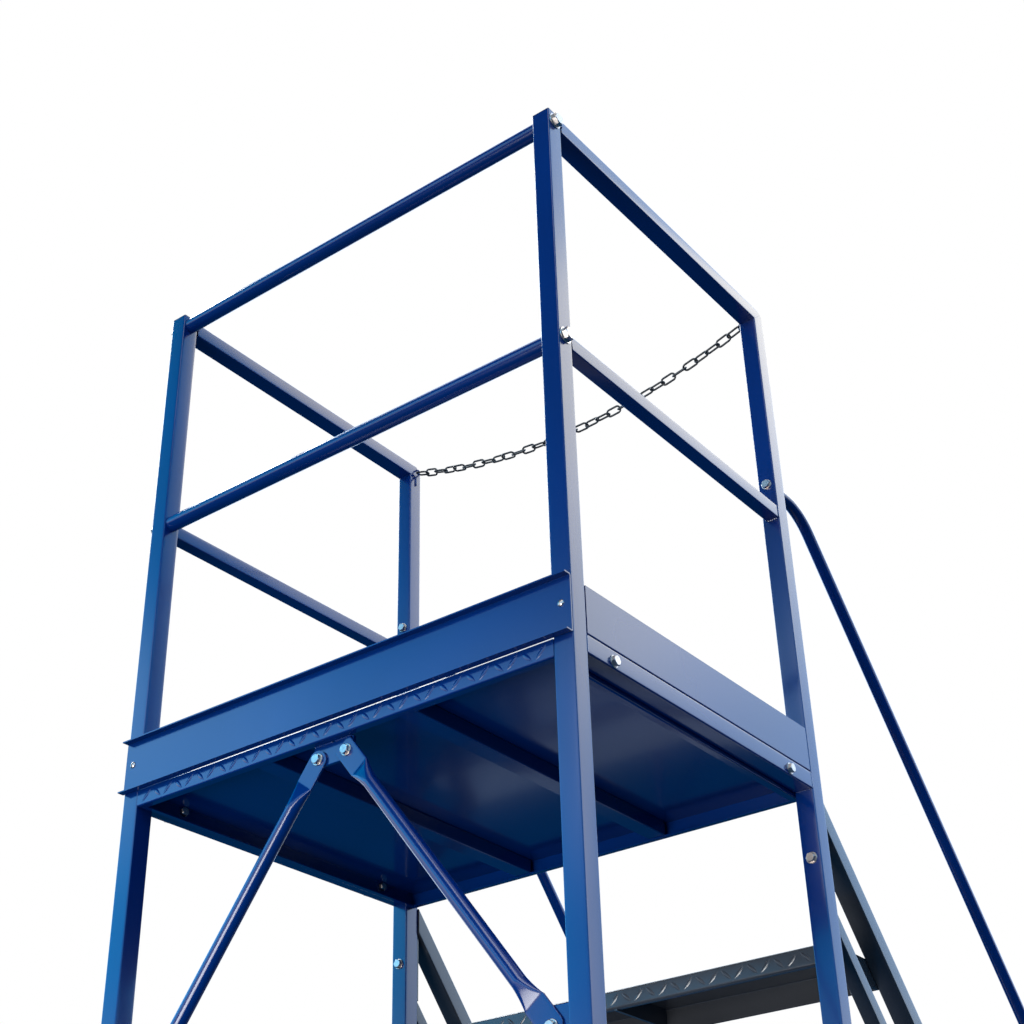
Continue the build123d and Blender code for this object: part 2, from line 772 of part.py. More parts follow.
def chain_link():
    bend = (link_inner_width + link_wire) / 2
    straight = link_inner_length + link_wire - 2 * bend
    outline = SlotCenterToCenter(straight, 2 * bend).wire()
    start = Plane(outline @ 0, z_dir=outline % 0)
    return sweep(start * Circle(link_wire / 2), path=outline)


def chain():
    # The links follow a parabola; an odd count lays both end links flat
    steps = 4000
    xs = [chain_span * (i / steps - 0.5) for i in range(steps + 1)]
    zs = [eye_z - chain_sag * (1 - (2 * x / chain_span) ** 2) for x in xs]
    run = [0.0]
    for i in range(steps):
        run.append(run[-1] + math.hypot(xs[i + 1] - xs[i], zs[i + 1] - zs[i]))
    spacing = (run[-1] - 2 * end_spacing) / (link_count - 1)
    link = chain_link()
    links = []
    place = 0
    for i in range(link_count):
        middle = end_spacing + i * spacing
        while run[place] < middle:
            place += 1
        slope = math.degrees(math.atan2(zs[place] - zs[place - 1], xs[place] - xs[place - 1]))
        roll = 90 * (i % 2)
        links.append(Pos(xs[place], front_post_y, zs[place]) * Rot(Y=-slope) * Rot(X=roll) * link)
    return links


# Fasteners
def rail_bolts():
    length = post_size + rail_plug_length
    return [hex_bolt(plane_x(half_width, back_post_y, z), rail_bolt, rail_bolt_flats, rail_bolt_head,
                     length, rail_washer_margin) for z in rail_bolt_z]


def outward_y(x, y, z):
    return Plane((x, y, z), x_dir=(1, 0, 0), z_dir=(0, 1, 0))


def frame_bolts():
    grip = post_size + deck_thickness + nut_height
    bolts = [frame_hex(plane_x(half_width, y, beam_bolt_z), grip) for y in beam_ys]
    front = brace_y + brace_flat_thickness
    grip = brace_flat_thickness + brace_plate + nut_height
    for x, z in ((brace_spread, brace_top_z), (brace_foot_x, brace_foot_z)):
        bolts.append(frame_hex(outward_y(x, front, z), grip))
    inside = front_face + post_size
    bolts.append(frame_hex(outward_y(post_x, inside, hanger_z), post_size + hanger_thickness + nut_height))
    bolts.append(frame_hex(outward_y(post_x, inside, handrail_z), post_size + handrail_plug))
    return bolts


def frame_nuts():
    inside = inner_face - deck_thickness - nut_height
    nuts = [frame_nut(plane_x(inside, y, beam_bolt_z)) for y in beam_ys]
    for x, z in ((brace_spread, brace_top_z), (brace_foot_x, brace_foot_z)):
        nuts.append(frame_nut(plane_y(x, brace_y - brace_plate, z)))
    nuts.append(frame_nut(plane_y(post_x, front_face - hanger_thickness, hanger_z)))
    return nuts


def toe_screw_piece():
    plane = outward_y(post_x, back_face + toe_thickness, toe_screw_z)
    shank = extrude(plane * Circle(toe_screw / 2), amount=-(toe_thickness + post_size / 4))
    head = extrude(plane * Circle(toe_screw_head / 2), amount=toe_screw_dome)
    rim = head.edges().filter_by(GeomType.CIRCLE).sort_by(Axis.Y)[-1]
    return shank + fillet(rim, toe_screw_dome * 0.8)


def castor_bolts():
    bolts = []
    for y in (back_pad_y, swivel_y):
        for x, hole_y in bolt_grid(y):
            plane = Plane((x, hole_y, castor_plate_bottom), x_dir=(1, 0, 0), z_dir=(0, 0, -1))
            bolts.append(hex_bolt(plane, castor_bolt, castor_bolt_flats, castor_bolt_head,
                                  castor_plate_thickness + pad_thickness))
    return bolts


def tube_cap(plane, size, wall):
    # A cover plate with a plug that fits the tube
    plug = size - 2 * wall - 2 * seat_play
    cap = extrude(plane * RectangleRounded(size, size, post_radius), amount=cap_thickness)
    return cap + extrude(plane * RectangleRounded(plug, plug, post_radius - wall / 2), amount=-cap_depth)


def tube_caps():
    end = Plane((post_x, base_front, base_bottom + base_size / 2), x_dir=(1, 0, 0), z_dir=(0, -1, 0))
    return [tube_cap(plane_z(post_x, back_post_y, post_top), post_size, post_wall),
            tube_cap(end, base_size, base_wall)]


def pair(piece):
    return group(both_sides(piece))


def pairs(pieces):
    return group([side for piece in pieces for side in both_sides(piece)])


def wheels():
    nodes = {}
    for place, y in (("front", axle_y), ("back", back_pad_y)):
        core_right, core_left = both_sides(wheel_core(y))
        tyre_right, tyre_left = both_sides(tyre(y))
        nodes[f"wheel_core_{place}_right"] = core_right
        nodes[f"wheel_core_{place}_left"] = core_left
        nodes[f"tyre_{place}_right"] = tyre_right
        nodes[f"tyre_{place}_left"] = tyre_left
    return nodes


def sided(name, piece):
    right, left = both_sides(piece)
    return {f"{name}_right": right, f"{name}_left": left}


def ladder():
    nodes = {}
    nodes.update(sided("back_post", back_post()))
    nodes.update(sided("front_post", front_post()))
    nodes["side_top_rails"] = pair(side_top_rail())
    nodes["side_mid_rails"] = pair(side_mid_rail())
    nodes["side_beams"] = pair(side_beam())
    nodes["side_toe_boards"] = pair(side_toe_board())
    nodes["back_top_rail"] = back_rail(back_rail_top)
    nodes["back_mid_rail"] = back_rail(back_rail_mid)
    nodes["back_toe_board"] = back_toe_board()
    nodes["deck"] = deck()
    nodes["deck_ribs"] = pair(deck_rib())
    nodes["brace_bracket"] = brace_bracket()
    nodes["brace_lugs"] = pair(brace_lug())
    nodes.update(sided("brace", brace()))
    nodes["stringer_upper_bars"] = pair(upper_bar())
    nodes["stringer_lower_bars"] = pair(lower_bar())
    nodes["stringer_hangers"] = pair(stringer_hanger())
    for step in range(1, rise_count):
        nodes[f"tread_{step}"] = tread(step)
    nodes.update(sided("handrail", handrail()))
    nodes["handrail_stanchions"] = pair(stanchion())
    nodes["base_rails"] = pair(base_rail())
    nodes["base_cross_tubes"] = group([base_cross(y) for y in (back_post_y, front_post_y, swivel_y)])
    nodes["side_ties"] = pair(side_tie())
    nodes["castor_pads"] = pairs([castor_pad(y) for y in (back_pad_y, swivel_y)])
    nodes["fixed_castor_brackets"] = pair(fixed_bracket())
    nodes["fixed_castor_axles"] = pair(axle(back_pad_y))
    nodes["swivel_plates"] = pair(swivel_plate())
    nodes.update(sided("castor_fork", castor_fork()))
    nodes.update(sided("castor_axle", axle(axle_y)))
    nodes.update(wheels())
    nodes.update(sided("brake_pedal", brake_pedal()))
    nodes["chain_eyes"] = pair(chain_eye())
    nodes["chain_links"] = group(chain())
    nodes["rail_bolts"] = pairs(rail_bolts())
    nodes["frame_bolts"] = pairs(frame_bolts())
    nodes["frame_nuts"] = pairs(frame_nuts())
    nodes["toe_board_screws"] = pair(toe_screw_piece())
    nodes["castor_bolts"] = pairs(castor_bolts())
    nodes["tube_caps"] = pairs(tube_caps())
    return nodes


os.makedirs("parts", exist_ok=True)
for name, shape in ladder().items():
    export_step(shape, f"parts/{name}.step")
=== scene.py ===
import re
import bpy
import numpy as np
from mathutils import Matrix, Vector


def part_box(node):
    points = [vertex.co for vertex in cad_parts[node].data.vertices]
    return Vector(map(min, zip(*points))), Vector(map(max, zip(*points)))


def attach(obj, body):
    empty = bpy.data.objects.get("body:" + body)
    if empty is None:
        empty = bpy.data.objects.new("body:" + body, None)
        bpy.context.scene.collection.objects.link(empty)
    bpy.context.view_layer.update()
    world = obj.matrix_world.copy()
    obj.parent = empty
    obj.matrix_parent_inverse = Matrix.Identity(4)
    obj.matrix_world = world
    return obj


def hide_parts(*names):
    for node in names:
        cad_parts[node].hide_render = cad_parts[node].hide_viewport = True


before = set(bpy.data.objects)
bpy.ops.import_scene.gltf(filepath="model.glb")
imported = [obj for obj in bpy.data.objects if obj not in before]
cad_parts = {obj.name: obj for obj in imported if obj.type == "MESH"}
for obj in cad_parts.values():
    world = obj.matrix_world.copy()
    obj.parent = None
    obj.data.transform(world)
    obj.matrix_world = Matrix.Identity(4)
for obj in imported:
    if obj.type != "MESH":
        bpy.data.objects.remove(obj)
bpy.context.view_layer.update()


# Finishes

class Value:  # one socket; sums and products of values add their own Math nodes
    def __init__(self, tree, socket=None):
        self.tree = tree
        self.socket = socket

    def feed(self, made, sockets):
        for key, value in sockets.items():
            if isinstance(value, Value):
                self.tree.links.new(value.socket, made.inputs[key])
            else:
                made.inputs[key].default_value = value

    def node(self, kind, sockets=None, output=0, **settings):
        made = self.tree.nodes.new(kind)
        for key, value in settings.items():
            setattr(made, key, value)
        self.feed(made, sockets or {})
        return Value(self.tree, made.outputs[output])

    def math(self, operation, first, second):
        return self.node("ShaderNodeMath", {0: first, 1: second}, operation=operation)

    def blend(self, first, second):  # of two colours, by this share
        return self.node("ShaderNodeMix", {0: self, 6: first, 7: second}, 2, data_type="RGBA")

    def mix(self, first, second):  # of two numbers
        return first + self * (second - first)

    def noise(self, where, scale, detail, roughness=0.5):
        sockets = {"Vector": where, "Scale": scale, "Detail": detail, "Roughness": roughness}
        return self.node("ShaderNodeTexNoise", sockets)

    def bump(self, height, strength, distance):
        return self.node("ShaderNodeBump", {"Height": height, "Strength": strength, "Distance": distance})

    def step(self, low, high):  # 0 below low, 1 above high
        return self.node("ShaderNodeMapRange", {"Value": self, "From Min": low, "From Max": high})

    def __add__(self, other):
        return self.math("ADD", self, other)

    def __sub__(self, other):
        return self.math("SUBTRACT", self, other)

    def __rsub__(self, other):
        return self.math("SUBTRACT", other, self)

    def __mul__(self, other):
        return self.math("MULTIPLY", self, other)

    __radd__ = __add__
    __rmul__ = __mul__


def newFinish(name):
    material = bpy.data.materials.new(name)
    material.use_nodes = True
    tree = material.node_tree
    base = Value(tree)
    where = base.node("ShaderNodeTexCoord", output="Object")
    return material, tree.nodes["Principled BSDF"], base, where


def snake(name):  # sideTopRails to side_top_rails, brace.left to brace_left
    return re.sub("([A-Z])", r"_\1", name).lower().replace(".", "_")


finishes = {}


def finish(name, look):
    # Clouds of a second tone and rougher dust, where the look has them; noises added up as bump.
    # A noise is its scale, detail and roughness; in the bump its share comes first
    material, shader, base, where = newFinish(name)
    colour, rough, height = look["colour"], look["roughness"], 0.0
    if "cloud" in look:
        cloud = base.noise(where, *look["cloud"])
        colour = cloud.step(*look["cloudEdge"]).blend(colour, look["shade"])
        rough = rough + cloud * look["cloudRough"]
    if "dust" in look:
        dust = base.noise(where, *look["dust"]).step(*look["dustEdge"])
        colour = (dust * look["dustShare"]).blend(colour, look["dustColour"])
        rough = rough + dust * look["dustRough"]
    for share, *noise in look["grain"]:
        height = height + base.noise(where, *noise) * share
    bump = base.bump(height, look["bump"], look["depth"])
    base.feed(shader, {"Base Color": colour, "Roughness": rough, "Normal": bump, **look["gloss"]})
    finishes[snake(name)] = material
    return look


bluePaint = finish("bluePaint", {
    "colour": (0.0001, 0.023, 0.145, 1), "shade": (0.0001, 0.017, 0.11, 1), "cloud": (2.6, 3.0),
    "cloudEdge": (0.3, 0.7), "cloudRough": 0.06, "dust": (420.0, 4.0, 0.7), "dustEdge": (0.66, 0.8),
    "dustShare": 0.03, "dustColour": (0.12, 0.2, 0.4, 1), "dustRough": 0.25, "roughness": 0.16,
    "grain": ((1.0, 260.0, 1.0), (0.35, 900.0, 2.0)), "bump": 0.008, "depth": 0.0006,
    "gloss": {"IOR": 1.5, "Coat Weight": 0.35, "Coat Roughness": 0.09}})
finish("charcoalPaint", dict(
    bluePaint, colour=(0.05, 0.052, 0.057, 1), shade=(0.03, 0.031, 0.035, 1), roughness=0.22, dustShare=0.14,
    dustColour=(0.16, 0.18, 0.21, 1), bump=0.04, gloss=dict(bluePaint["gloss"], **{"Coat Weight": 0.3})))
zincSteel = finish("zincSteel", {
    "colour": (0.66, 0.58, 0.52, 1), "shade": (0.47, 0.41, 0.36, 1), "cloud": (160.0, 4.0, 0.6),
    "cloudEdge": (0.35, 0.7), "cloudRough": 0.22, "roughness": 0.2, "grain": ((1.0, 1400.0, 2.0),),
    "bump": 0.08, "depth": 0.0004, "gloss": {"Metallic": 1.0}})
finish("chainSteel", dict(
    zincSteel, colour=(0.07, 0.066, 0.06, 1), shade=(0.035, 0.033, 0.03, 1), roughness=0.32,
    gloss={"Metallic": 0.5}))
tyreRubber = finish("tyreRubber", {
    "colour": (0.022, 0.022, 0.023, 1), "dust": (60.0, 5.0, 0.65), "dustEdge": (0.45, 0.75), "dustShare": 0.5,
    "dustColour": (0.12, 0.115, 0.105, 1), "dustRough": 0.25, "roughness": 0.6,
    "grain": ((1.0, 700.0, 3.0, 0.6),), "bump": 0.25, "depth": 0.0005, "gloss": {}})
wheelPlastic = finish("wheelPlastic", dict(
    tyreRubber, colour=(0.16, 0.165, 0.17, 1), dustShare=0.25, bump=0.12, roughness=0.38))
finish("pedalPlastic", dict(
    wheelPlastic, colour=(0.42, 0.012, 0.01, 1), dustShare=0.2, dustColour=(0.5, 0.25, 0.22, 1)))
finish("capPlastic", dict(wheelPlastic, colour=(0.012, 0.013, 0.016, 1)))
print("finishes made:", ", ".join(finishes))


# Shapes: a part is its points in millimetres and a list of face arrays
x, y, z = np.eye(3)


def unit(vector):
    vector = np.asarray(vector, float)
    return vector / np.linalg.norm(vector, axis=-1, keepdims=True)


def ray(angle):  # the point of the unit circle at an angle
    return np.stack([np.cos(angle), np.sin(angle)], -1)


def across(way):  # a main axis square to another
    return y if abs(way[0]) > 0.5 else x


def circle(radius, count=36):
    return radius * ray(np.arange(count) * 2 * np.pi / count)


def carry(loop, origins, sides, ups, ring=False):
    # Profile on a path: point (i, j) is origin i plus x of point j along side i plus y along up i
    origins = np.asarray(origins, float)
    count = len(origins)
    sides, ups = (np.broadcast_to(ways, origins.shape)[:, None] for ways in (sides, ups))
    loop = np.broadcast_to(loop, (count,) + np.shape(loop)[-2:])
    points = origins[:, None] + loop[..., :1] * sides + loop[..., 1:] * ups
    size = loop.shape[1]
    i, j = np.indices((count if ring else count - 1, size))
    low, high = i * size, (i + 1) % count * size
    after = (j + 1) % size
    faces = [np.stack([low + j, low + after, high + after, high + j], -1).reshape(-1, 4)]
    if not ring:
        faces += [np.arange(size)[None, ::-1], np.arange(size)[None] + (count - 1) * size]
    return points.reshape(-1, 3), faces


def straight(loop, start, end, side):
    # The same profile at both ends of a straight line
    return carry(loop, [start, end], side, np.cross(unit(np.subtract(end, start)), side))


def levelTube(loop, place, back, front):
    # The same, from back to front at a place in X and Z
    return straight(loop, (place[0], back, place[1]), (place[0], front, place[1]), x)


def along(loop, path, side):
    # Profile along a bent path in the plane square to side
    return carry(loop, path, side, np.cross(unit(np.gradient(path, axis=0)), side))


def turned(profile, centre, way, count=40, ring=False):
    # Lathe: each row of the profile is a distance along way and a radius; a ring's profile is closed
    profile = np.asarray(profile, float)
    rings = circle(1.0, count) * profile[:, 1, None, None]
    return carry(rings, centre + profile[:, :1] * way, across(way), np.cross(way, across(way)), ring)


def roundLoop(width, height, radius, steps=4, bow=0.0):
    # Quarter circles at the corners of a rectangle; bow lifts the middle of each side
    start = np.arange(4)[:, None] * np.pi / 2
    angle = start + np.linspace(-np.pi / 2, 0, steps + 1)
    middle = np.array([[1, -1], [1, 1], [-1, 1], [-1, -1]]) * [width / 2 - radius, height / 2 - radius]
    points = middle[:, None] + radius * ray(angle)
    if bow:
        share = np.linspace(-1, 1, 8)[1:-1, None]
        first, last = points[:, -1:], np.roll(points, -1, 0)[:, :1]
        side = first + (last - first) * (share + 1) / 2 + bow * (1 - share ** 2) * ray(start)
        points = np.concatenate([points, side], 1)
    return points.reshape(-1, 2)


def splitLoop(loop, place):
    # Adds a point wherever the loop crosses a height
    step = np.roll(loop, -1, 0) - loop
    share = (place - loop[:, 1]) / np.where(step[:, 1] == 0, 1e-9, step[:, 1])
    both = np.stack([loop, loop + share[:, None] * step], 1).reshape(-1, 2)
    keep = np.stack([np.full(len(loop), True), (share > 0.001) & (share < 0.999)], 1).ravel()
    return both[keep]


def inset(loop, amount):
    # Each corner moves in along the bisector of its two sides
    step = unit(np.roll(loop, -1, 0) - loop)
    inward = np.c_[-step[:, 1], step[:, 0]]
    before = np.roll(inward, 1, 0)
    return loop + amount * (inward + before) / (1 + (inward * before).sum(1, keepdims=True))


def slab(outline, origin, side, up, depth, edge=0.8):
    # Outline through a thickness, drawn in at both faces for a broken edge
    outline = np.asarray(outline, float)
    small = inset(outline, edge)
    stations = np.array([[0], [edge], [depth - edge], [depth]])
    return carry(np.stack([small, outline, outline, small]), origin + stations * np.cross(side, up), side, up)


def box(low, high, edge=0.8):
    # Slab between two corners, its outline in XY
    low, high = np.minimum(low, high), np.maximum(low, high)
    outline = [(low[0], low[1]), (high[0], low[1]), (high[0], high[1]), (low[0], high[1])]
    return slab(outline, low[2] * z, x, y, high[2] - low[2], edge)


def bendLine(corners, radius, steps=5):
    # Straight runs with an arc at each inner corner
    corners = np.asarray(corners, float)
    line = [corners[:1]]
    for before, corner, after in zip(corners, corners[1:], corners[2:]):
        one, two = unit(before - corner), unit(after - corner)
        half = np.arccos(np.clip(one @ two, -1, 1)) / 2
        middle = corner + unit(one + two) * radius / np.sin(half)
        first, last = (corner + run * radius / np.tan(half) - middle for run in (one, two))
        turn = np.pi - 2 * half
        share = np.linspace(0, 1, steps + 1)[:, None]
        arc = np.sin((1 - share) * turn) * first + np.sin(share * turn) * last
        line.append(middle + arc / np.sin(turn))
    return np.concatenate(line + [corners[-1:]])


def rounded(corners, radius):
    # Closed outline with an arc at every corner
    corners = np.asarray(corners, float)
    start = (corners[:1] + corners[-1:]) / 2
    return bendLine(np.r_[start, corners, start], radius)[1:]


def sheet(corners, thickness, radius):
    # Folded sheet: the rounded outer line, and that line moved right by the thickness
    line = bendLine(corners, radius)
    way = unit(np.gradient(line, axis=0))
    right = np.c_[way[:, 1], -way[:, 0]]
    return np.r_[line + thickness * right, line[::-1]]


def hexNut(origin, way, flats, height, spin):
    # Hexagon rings, drawn in towards a circle at the chamfered top
    angle = np.arange(24) * np.pi / 12
    reach = flats / 2 / np.cos((angle + np.pi / 6) % (np.pi / 3) - np.pi / 6)
    hexagon = reach[:, None] * ray(angle + spin)
    top = unit(hexagon) * flats * 0.47
    rise = height * np.array([[0], [0.84], [1], [1]])
    loops = np.stack([hexagon, hexagon, top, top * 0.9])
    return carry(loops, origin + rise * way, across(way), np.cross(way, across(way)))


washerThick = 2.0


def bolt(origin, way, size, spin):
    # Washer and chamfered head above the origin
    radius, thick = size["flats"] / 2 + size["margin"], washerThick
    washer = [(0, radius), (thick - 0.5, radius), (thick, radius - 0.6), (thick, radius * 0.6)]
    return [turned(washer, origin, way), hexNut(origin + way * thick, way, size["flats"], size["head"], spin)]


def bead(path, size, pitch=5.0):
    # Weld: a round bead along a path, swollen once for every pitch
    path = np.asarray(path, float)
    reach = np.r_[0, np.cumsum(np.linalg.norm(np.diff(path, axis=0), axis=1))]
    place = np.arange(0, reach[-1] + 1e-6, pitch / 4)
    line = np.stack([np.interp(place, reach, column) for column in path.T], -1)
    way = unit(np.gradient(line, axis=0))
    side = unit(np.cross(np.where(np.abs(way[:, 2:]) > 0.9, x, z), way))
    swell = size * (0.86 + 0.2 * np.abs(np.sin(np.pi * place / pitch)))
    swell = swell * np.clip(np.minimum(place, reach[-1] - place) / size + 0.35, 0, 1)
    return carry(circle(1.0, 7) * swell[:, None, None], line, side, np.cross(way, side))


def beadRound(width, height, centre, side, up, size=2.2):
    # Weld round the end of a tube
    loop = roundLoop(width, height, 2.5, 3)
    loop = np.r_[loop, loop[:1]]
    return bead(centre + loop[:, :1] * side + loop[:, 1:] * up, size)


chequer = {"length": 31.0, "width": 8.5, "height": 1.2, "pitch": 29.5, "sunk": 0.05}


def lensField(corner, first, second, reach):
    # Chequer plate: domes on a square grid from corner on, by turns along two slants; the width and height
    # of a dome fall off as 1 - u squared
    pitch = chequer["pitch"]
    counts = np.maximum(np.round((np.array(reach) - chequer["length"] * 0.3) / pitch), 1).astype(int)
    number = np.indices(counts).reshape(2, -1).T
    centres = corner + ((reach - (counts - 1) * pitch) / 2 + number * pitch) @ [first, second]
    u, v = np.mgrid[-1:1:7j, -1:1:5j]
    wide = (1 - 0.96 * u ** 2) * chequer["width"] / 2
    high = chequer["height"] * (1 - 0.9 * u ** 2) * (1 - v ** 2) - chequer["sunk"]
    dome = np.stack([u * chequer["length"] / 2, v * wide, high], -1).reshape(-1, 3)
    up = np.cross(first, second) * 2 ** 0.5
    slants = np.array([(first + second, second - first, up), (first - second, first + second, up)])
    points = centres[:, None] + dome @ (slants[number.sum(1) % 2] / 2 ** 0.5)
    grid = np.arange(u.size).reshape(u.shape)
    over = np.stack([grid[:-1, :-1], grid[1:, :-1], grid[1:, 1:], grid[:-1, 1:]], -1).reshape(-1, 4)
    under = np.stack([grid[:-1, 0], grid[:-1, -1], grid[1:, -1], grid[1:, 0]], -1)
    tips = np.stack([grid[0], grid[-1, ::-1]])
    start = np.arange(len(centres))[:, None, None] * u.size
    faces = [(np.r_[over, under] + start).reshape(-1, 4), (tips + start).reshape(-1, 5)]
    return points.reshape(-1, 3), faces


def mirrored(parts):
    return [(points * [-1, 1, 1], [face[:, ::-1] for face in faces]) for points, faces in parts]


def bothSides(parts):
    return parts + mirrored(parts)


softEdge = np.radians(38)  # edges flatter than this are shaded smooth


def newObject(name, parts, material):
    # One mesh in metres out of all the parts
    counts = np.cumsum([0] + [len(points) for points, faces in parts])
    faces = [face + first for (points, group), first in zip(parts, counts) for face in group]
    corners = np.concatenate([face.ravel() for face in faces])
    sides = np.concatenate([np.full(len(face), face.shape[1]) for face in faces])
    mesh = bpy.data.meshes.new(name)
    mesh.vertices.add(counts[-1])
    mesh.vertices.foreach_set("co", (np.concatenate([points for points, group in parts]) * 0.001).ravel())
    mesh.loops.add(len(corners))
    mesh.loops.foreach_set("vertex_index", corners)
    mesh.polygons.add(len(sides))
    mesh.polygons.foreach_set("loop_start", np.cumsum(sides) - sides)
    mesh.polygons.foreach_set("use_smooth", np.full(len(sides), True))
    mesh.update(calc_edges=True)
    mesh.set_sharp_from_angle(angle=softEdge)
    mesh.materials.append(material)
    made = bpy.data.objects.new(name, mesh)
    bpy.context.scene.collection.objects.link(made)
    return made


def addPiece(name, parts, slot="blue_paint", body="frame", node=None):
    # A piece stands for the CAD node of its name or the given one
    piece = newObject(name, parts, finishes[slot])
    even = piece.modifiers.new("evenFaces", "WEIGHTED_NORMAL")
    even.keep_sharp = True
    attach(piece, body)
    node = node or snake(name)
    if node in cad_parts:
        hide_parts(node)


def addBoth(name, parts, slot="blue_paint"):
    addPiece(name, bothSides(parts), slot)


def addPairs(*rows):
    # Pieces of the +X side, then their mirror images; a row may add a slot and the start of the body's name
    for side, turn in (("right", list), ("left", mirrored)):
        for stem, parts, *more in rows:
            addPiece(stem + side, turn(parts), *more[:1], *(start + side for start in more[1:]))


def cad(node):  # lowest and highest corner of a CAD node, in millimetres
    return np.array(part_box(node)) * 1000


def middle(node):
    return cad(node).mean(0)


(innerFace, insideBack, baseTop), (halfWidth, backFace, postTop) = cad("back_post_right")
postX = (halfWidth + innerFace) / 2
frontFace, insideFront = cad("front_post_right")[:, 1]
deckTop = cad("deck")[1, 2]
baseFront = cad("base_rails")[0, 1]
railBottom, railTop = cad("side_top_rails")[:, 2]


# Posts and side rails
tube = {"size": 40.0, "radius": 2.4, "bow": 0.16}
rail = {"mid": 30.0, "midInset": 1.0, "sawGap": 4.0, "chamfer": 18.0, "beamRadius": 3.0}
size = tube["size"]
backY, frontY = backFace - size / 2, frontFace + size / 2
railHigh, railZ = railTop - railBottom, (railTop + railBottom) / 2
midX, midZ = halfWidth - rail["midInset"] - rail["mid"] / 2, middle("side_mid_rails")[2]
beamHigh, beamZ = np.ptp(cad("side_beams"), axis=0)[2], middle("side_beams")[2]


def tubeLoop(width, height):
    return roundLoop(width, height, tube["radius"], bow=tube["bow"])


squareLoop = tubeLoop(size, size)
midLoop = tubeLoop(rail["mid"], rail["mid"])


def mitred(depth, other, start, end, side):
    # The far end is cut back by reach times fall, and by the chamfer at the outer corner; its face is parted
    # at the kink between them, so that both halves stay flat
    fall = other / depth
    kink = rail["chamfer"] / (1 + fall) - depth / 2
    loop = splitLoop(tubeLoop(size, depth), kink)
    count, level = len(loop), loop[:, 1]
    points, faces = straight(loop, start, end, side)
    reach = level + depth / 2
    cut = np.maximum(reach * fall, rail["chamfer"] - reach)
    points[count:] -= cut[:, None] * unit(np.subtract(end, start))
    number = np.arange(count, 2 * count)[None]
    return points, faces[:-1] + [number[:, level < kink + 0.001], number[:, level > kink - 0.001]]


def sawn(points, faces, top, high):
    # The slanted cut leaves a gap beside the back post that opens downwards
    ring = points[:len(points) // 2]
    ring[:, 1] -= rail["sawGap"] * np.clip((top - ring[:, 2]) / high, 0, 1)
    return [(points, faces)]


def sideBeam():
    loop = roundLoop(size, beamHigh, rail["beamRadius"], 5, tube["bow"])
    return [levelTube(loop, (postX, beamZ), insideBack, insideFront)]


backPost = [straight(squareLoop, (postX, backY, baseTop), (postX, backY, postTop), x)]
frontPost = [mitred(size, railHigh, (postX, frontY, baseTop), (postX, frontY, railTop), x)]
sideTopRail = mitred(railHigh, size, (postX, insideBack, railZ), (postX, frontFace, railZ), -x)
sideMidRail = levelTube(midLoop, (midX, midZ), insideBack, insideFront)
addPairs(("backPost.", backPost), ("frontPost.", frontPost))
addBoth("sideTopRails", sawn(*sideTopRail, railTop, railHigh))
addBoth("sideMidRails", sawn(*sideMidRail, midZ + rail["mid"] / 2, rail["mid"]))
addBoth("sideBeams", sideBeam())
print("posts and side rails made")


# Toe boards and back rails
toe = {"thickness": 2.5, "foot": 28.0, "bend": 3.2, "hang": 8.0}


def sideToeBoard():
    # Angle: down the outer face, then in along the beam
    low, high = cad("side_toe_boards")
    corners = [(halfWidth, high[2]), (halfWidth, low[2]), (halfWidth - toe["foot"], low[2])]
    loop = sheet(corners, toe["thickness"], toe["bend"])
    return [carry(loop, [high * y, low * y], x, z)]


def backToeBoard():
    # Channel: web against the posts, flanges turned out
    low, high = cad("back_toe_board")
    low[2] -= toe["hang"]
    corners = [(high[1], low[2]), (low[1], low[2]), (low[1], high[2]), (high[1], high[2])]
    loop = sheet(corners, toe["thickness"], toe["bend"])
    return [carry(loop, [low * x, high * x], y, z)]


def backRail(node):
    low, high = cad(node)
    level = middle(node) * (y + z)
    return [straight(circle((high[2] - low[2]) / 2, 48), low * x + level, high * x + level, y)]


addBoth("sideToeBoards", sideToeBoard())
addPiece("backToeBoard", backToeBoard())
for level in ("top", "mid"):
    node = f"back_{level}_rail"
    addPiece("backRail." + level, backRail(node), node=node)
print("toe boards and back rails made")


# Deck: a folded tray with chequer lenses, ribs under it
tray = {"thickness": 3.0, "fold": 35.0, "lip": 15.0, "bend": 3.6, "rim": 60.0, "bare": (4.0, 3.0),
        "rib": 40.0}


def deckTray():
    # The fold's profile goes round four mitred corners; two large quads close its inner edges
    low, high = cad("deck")
    fold = [(-tray["rim"], 0), (0, 0), (0, -tray["fold"]), (-tray["lip"], -tray["fold"])]
    loop = sheet(fold, tray["thickness"], tray["bend"])
    out = np.array([(-1, -1, 0), (1, -1, 0), (1, 1, 0), (-1, 1, 0)])
    points, faces = carry(loop, np.where(out < 0, low, high), out, z, ring=True)
    count = len(loop)
    skin = faces[0][np.arange(4 * count) % count < count - 1, ::-1]
    under = np.arange(4)[None] * count
    return [(points, [skin, under + count - 1, under[:, ::-1]])]


def deckLenses():
    low, high = cad("deck")
    wide, deep = (high - low)[:2]
    side, rise = tray["bare"]  # plain strips round the pattern on the folds
    foot = high[2] - tray["fold"] + rise
    reach = (wide - 2 * side, tray["fold"] - 2 * rise)
    return [lensField((low[0], low[1], high[2]), x, y, (wide, deep)),
            lensField((high[0] - side, high[1], foot), -x, z, reach),
            lensField((low[0] + side, low[1], foot), x, z, reach)]


def deckRib():
    low, high = cad("deck_ribs")
    loop = roundLoop(tray["rib"], high[2] - low[2], tube["radius"])
    return [levelTube(loop, (high[0] - tray["rib"] / 2, middle("deck_ribs")[2]), high[1], low[1])]


addPiece("deck", deckTray() + deckLenses())
addBoth("deckRibs", deckRib())
print("deck made")


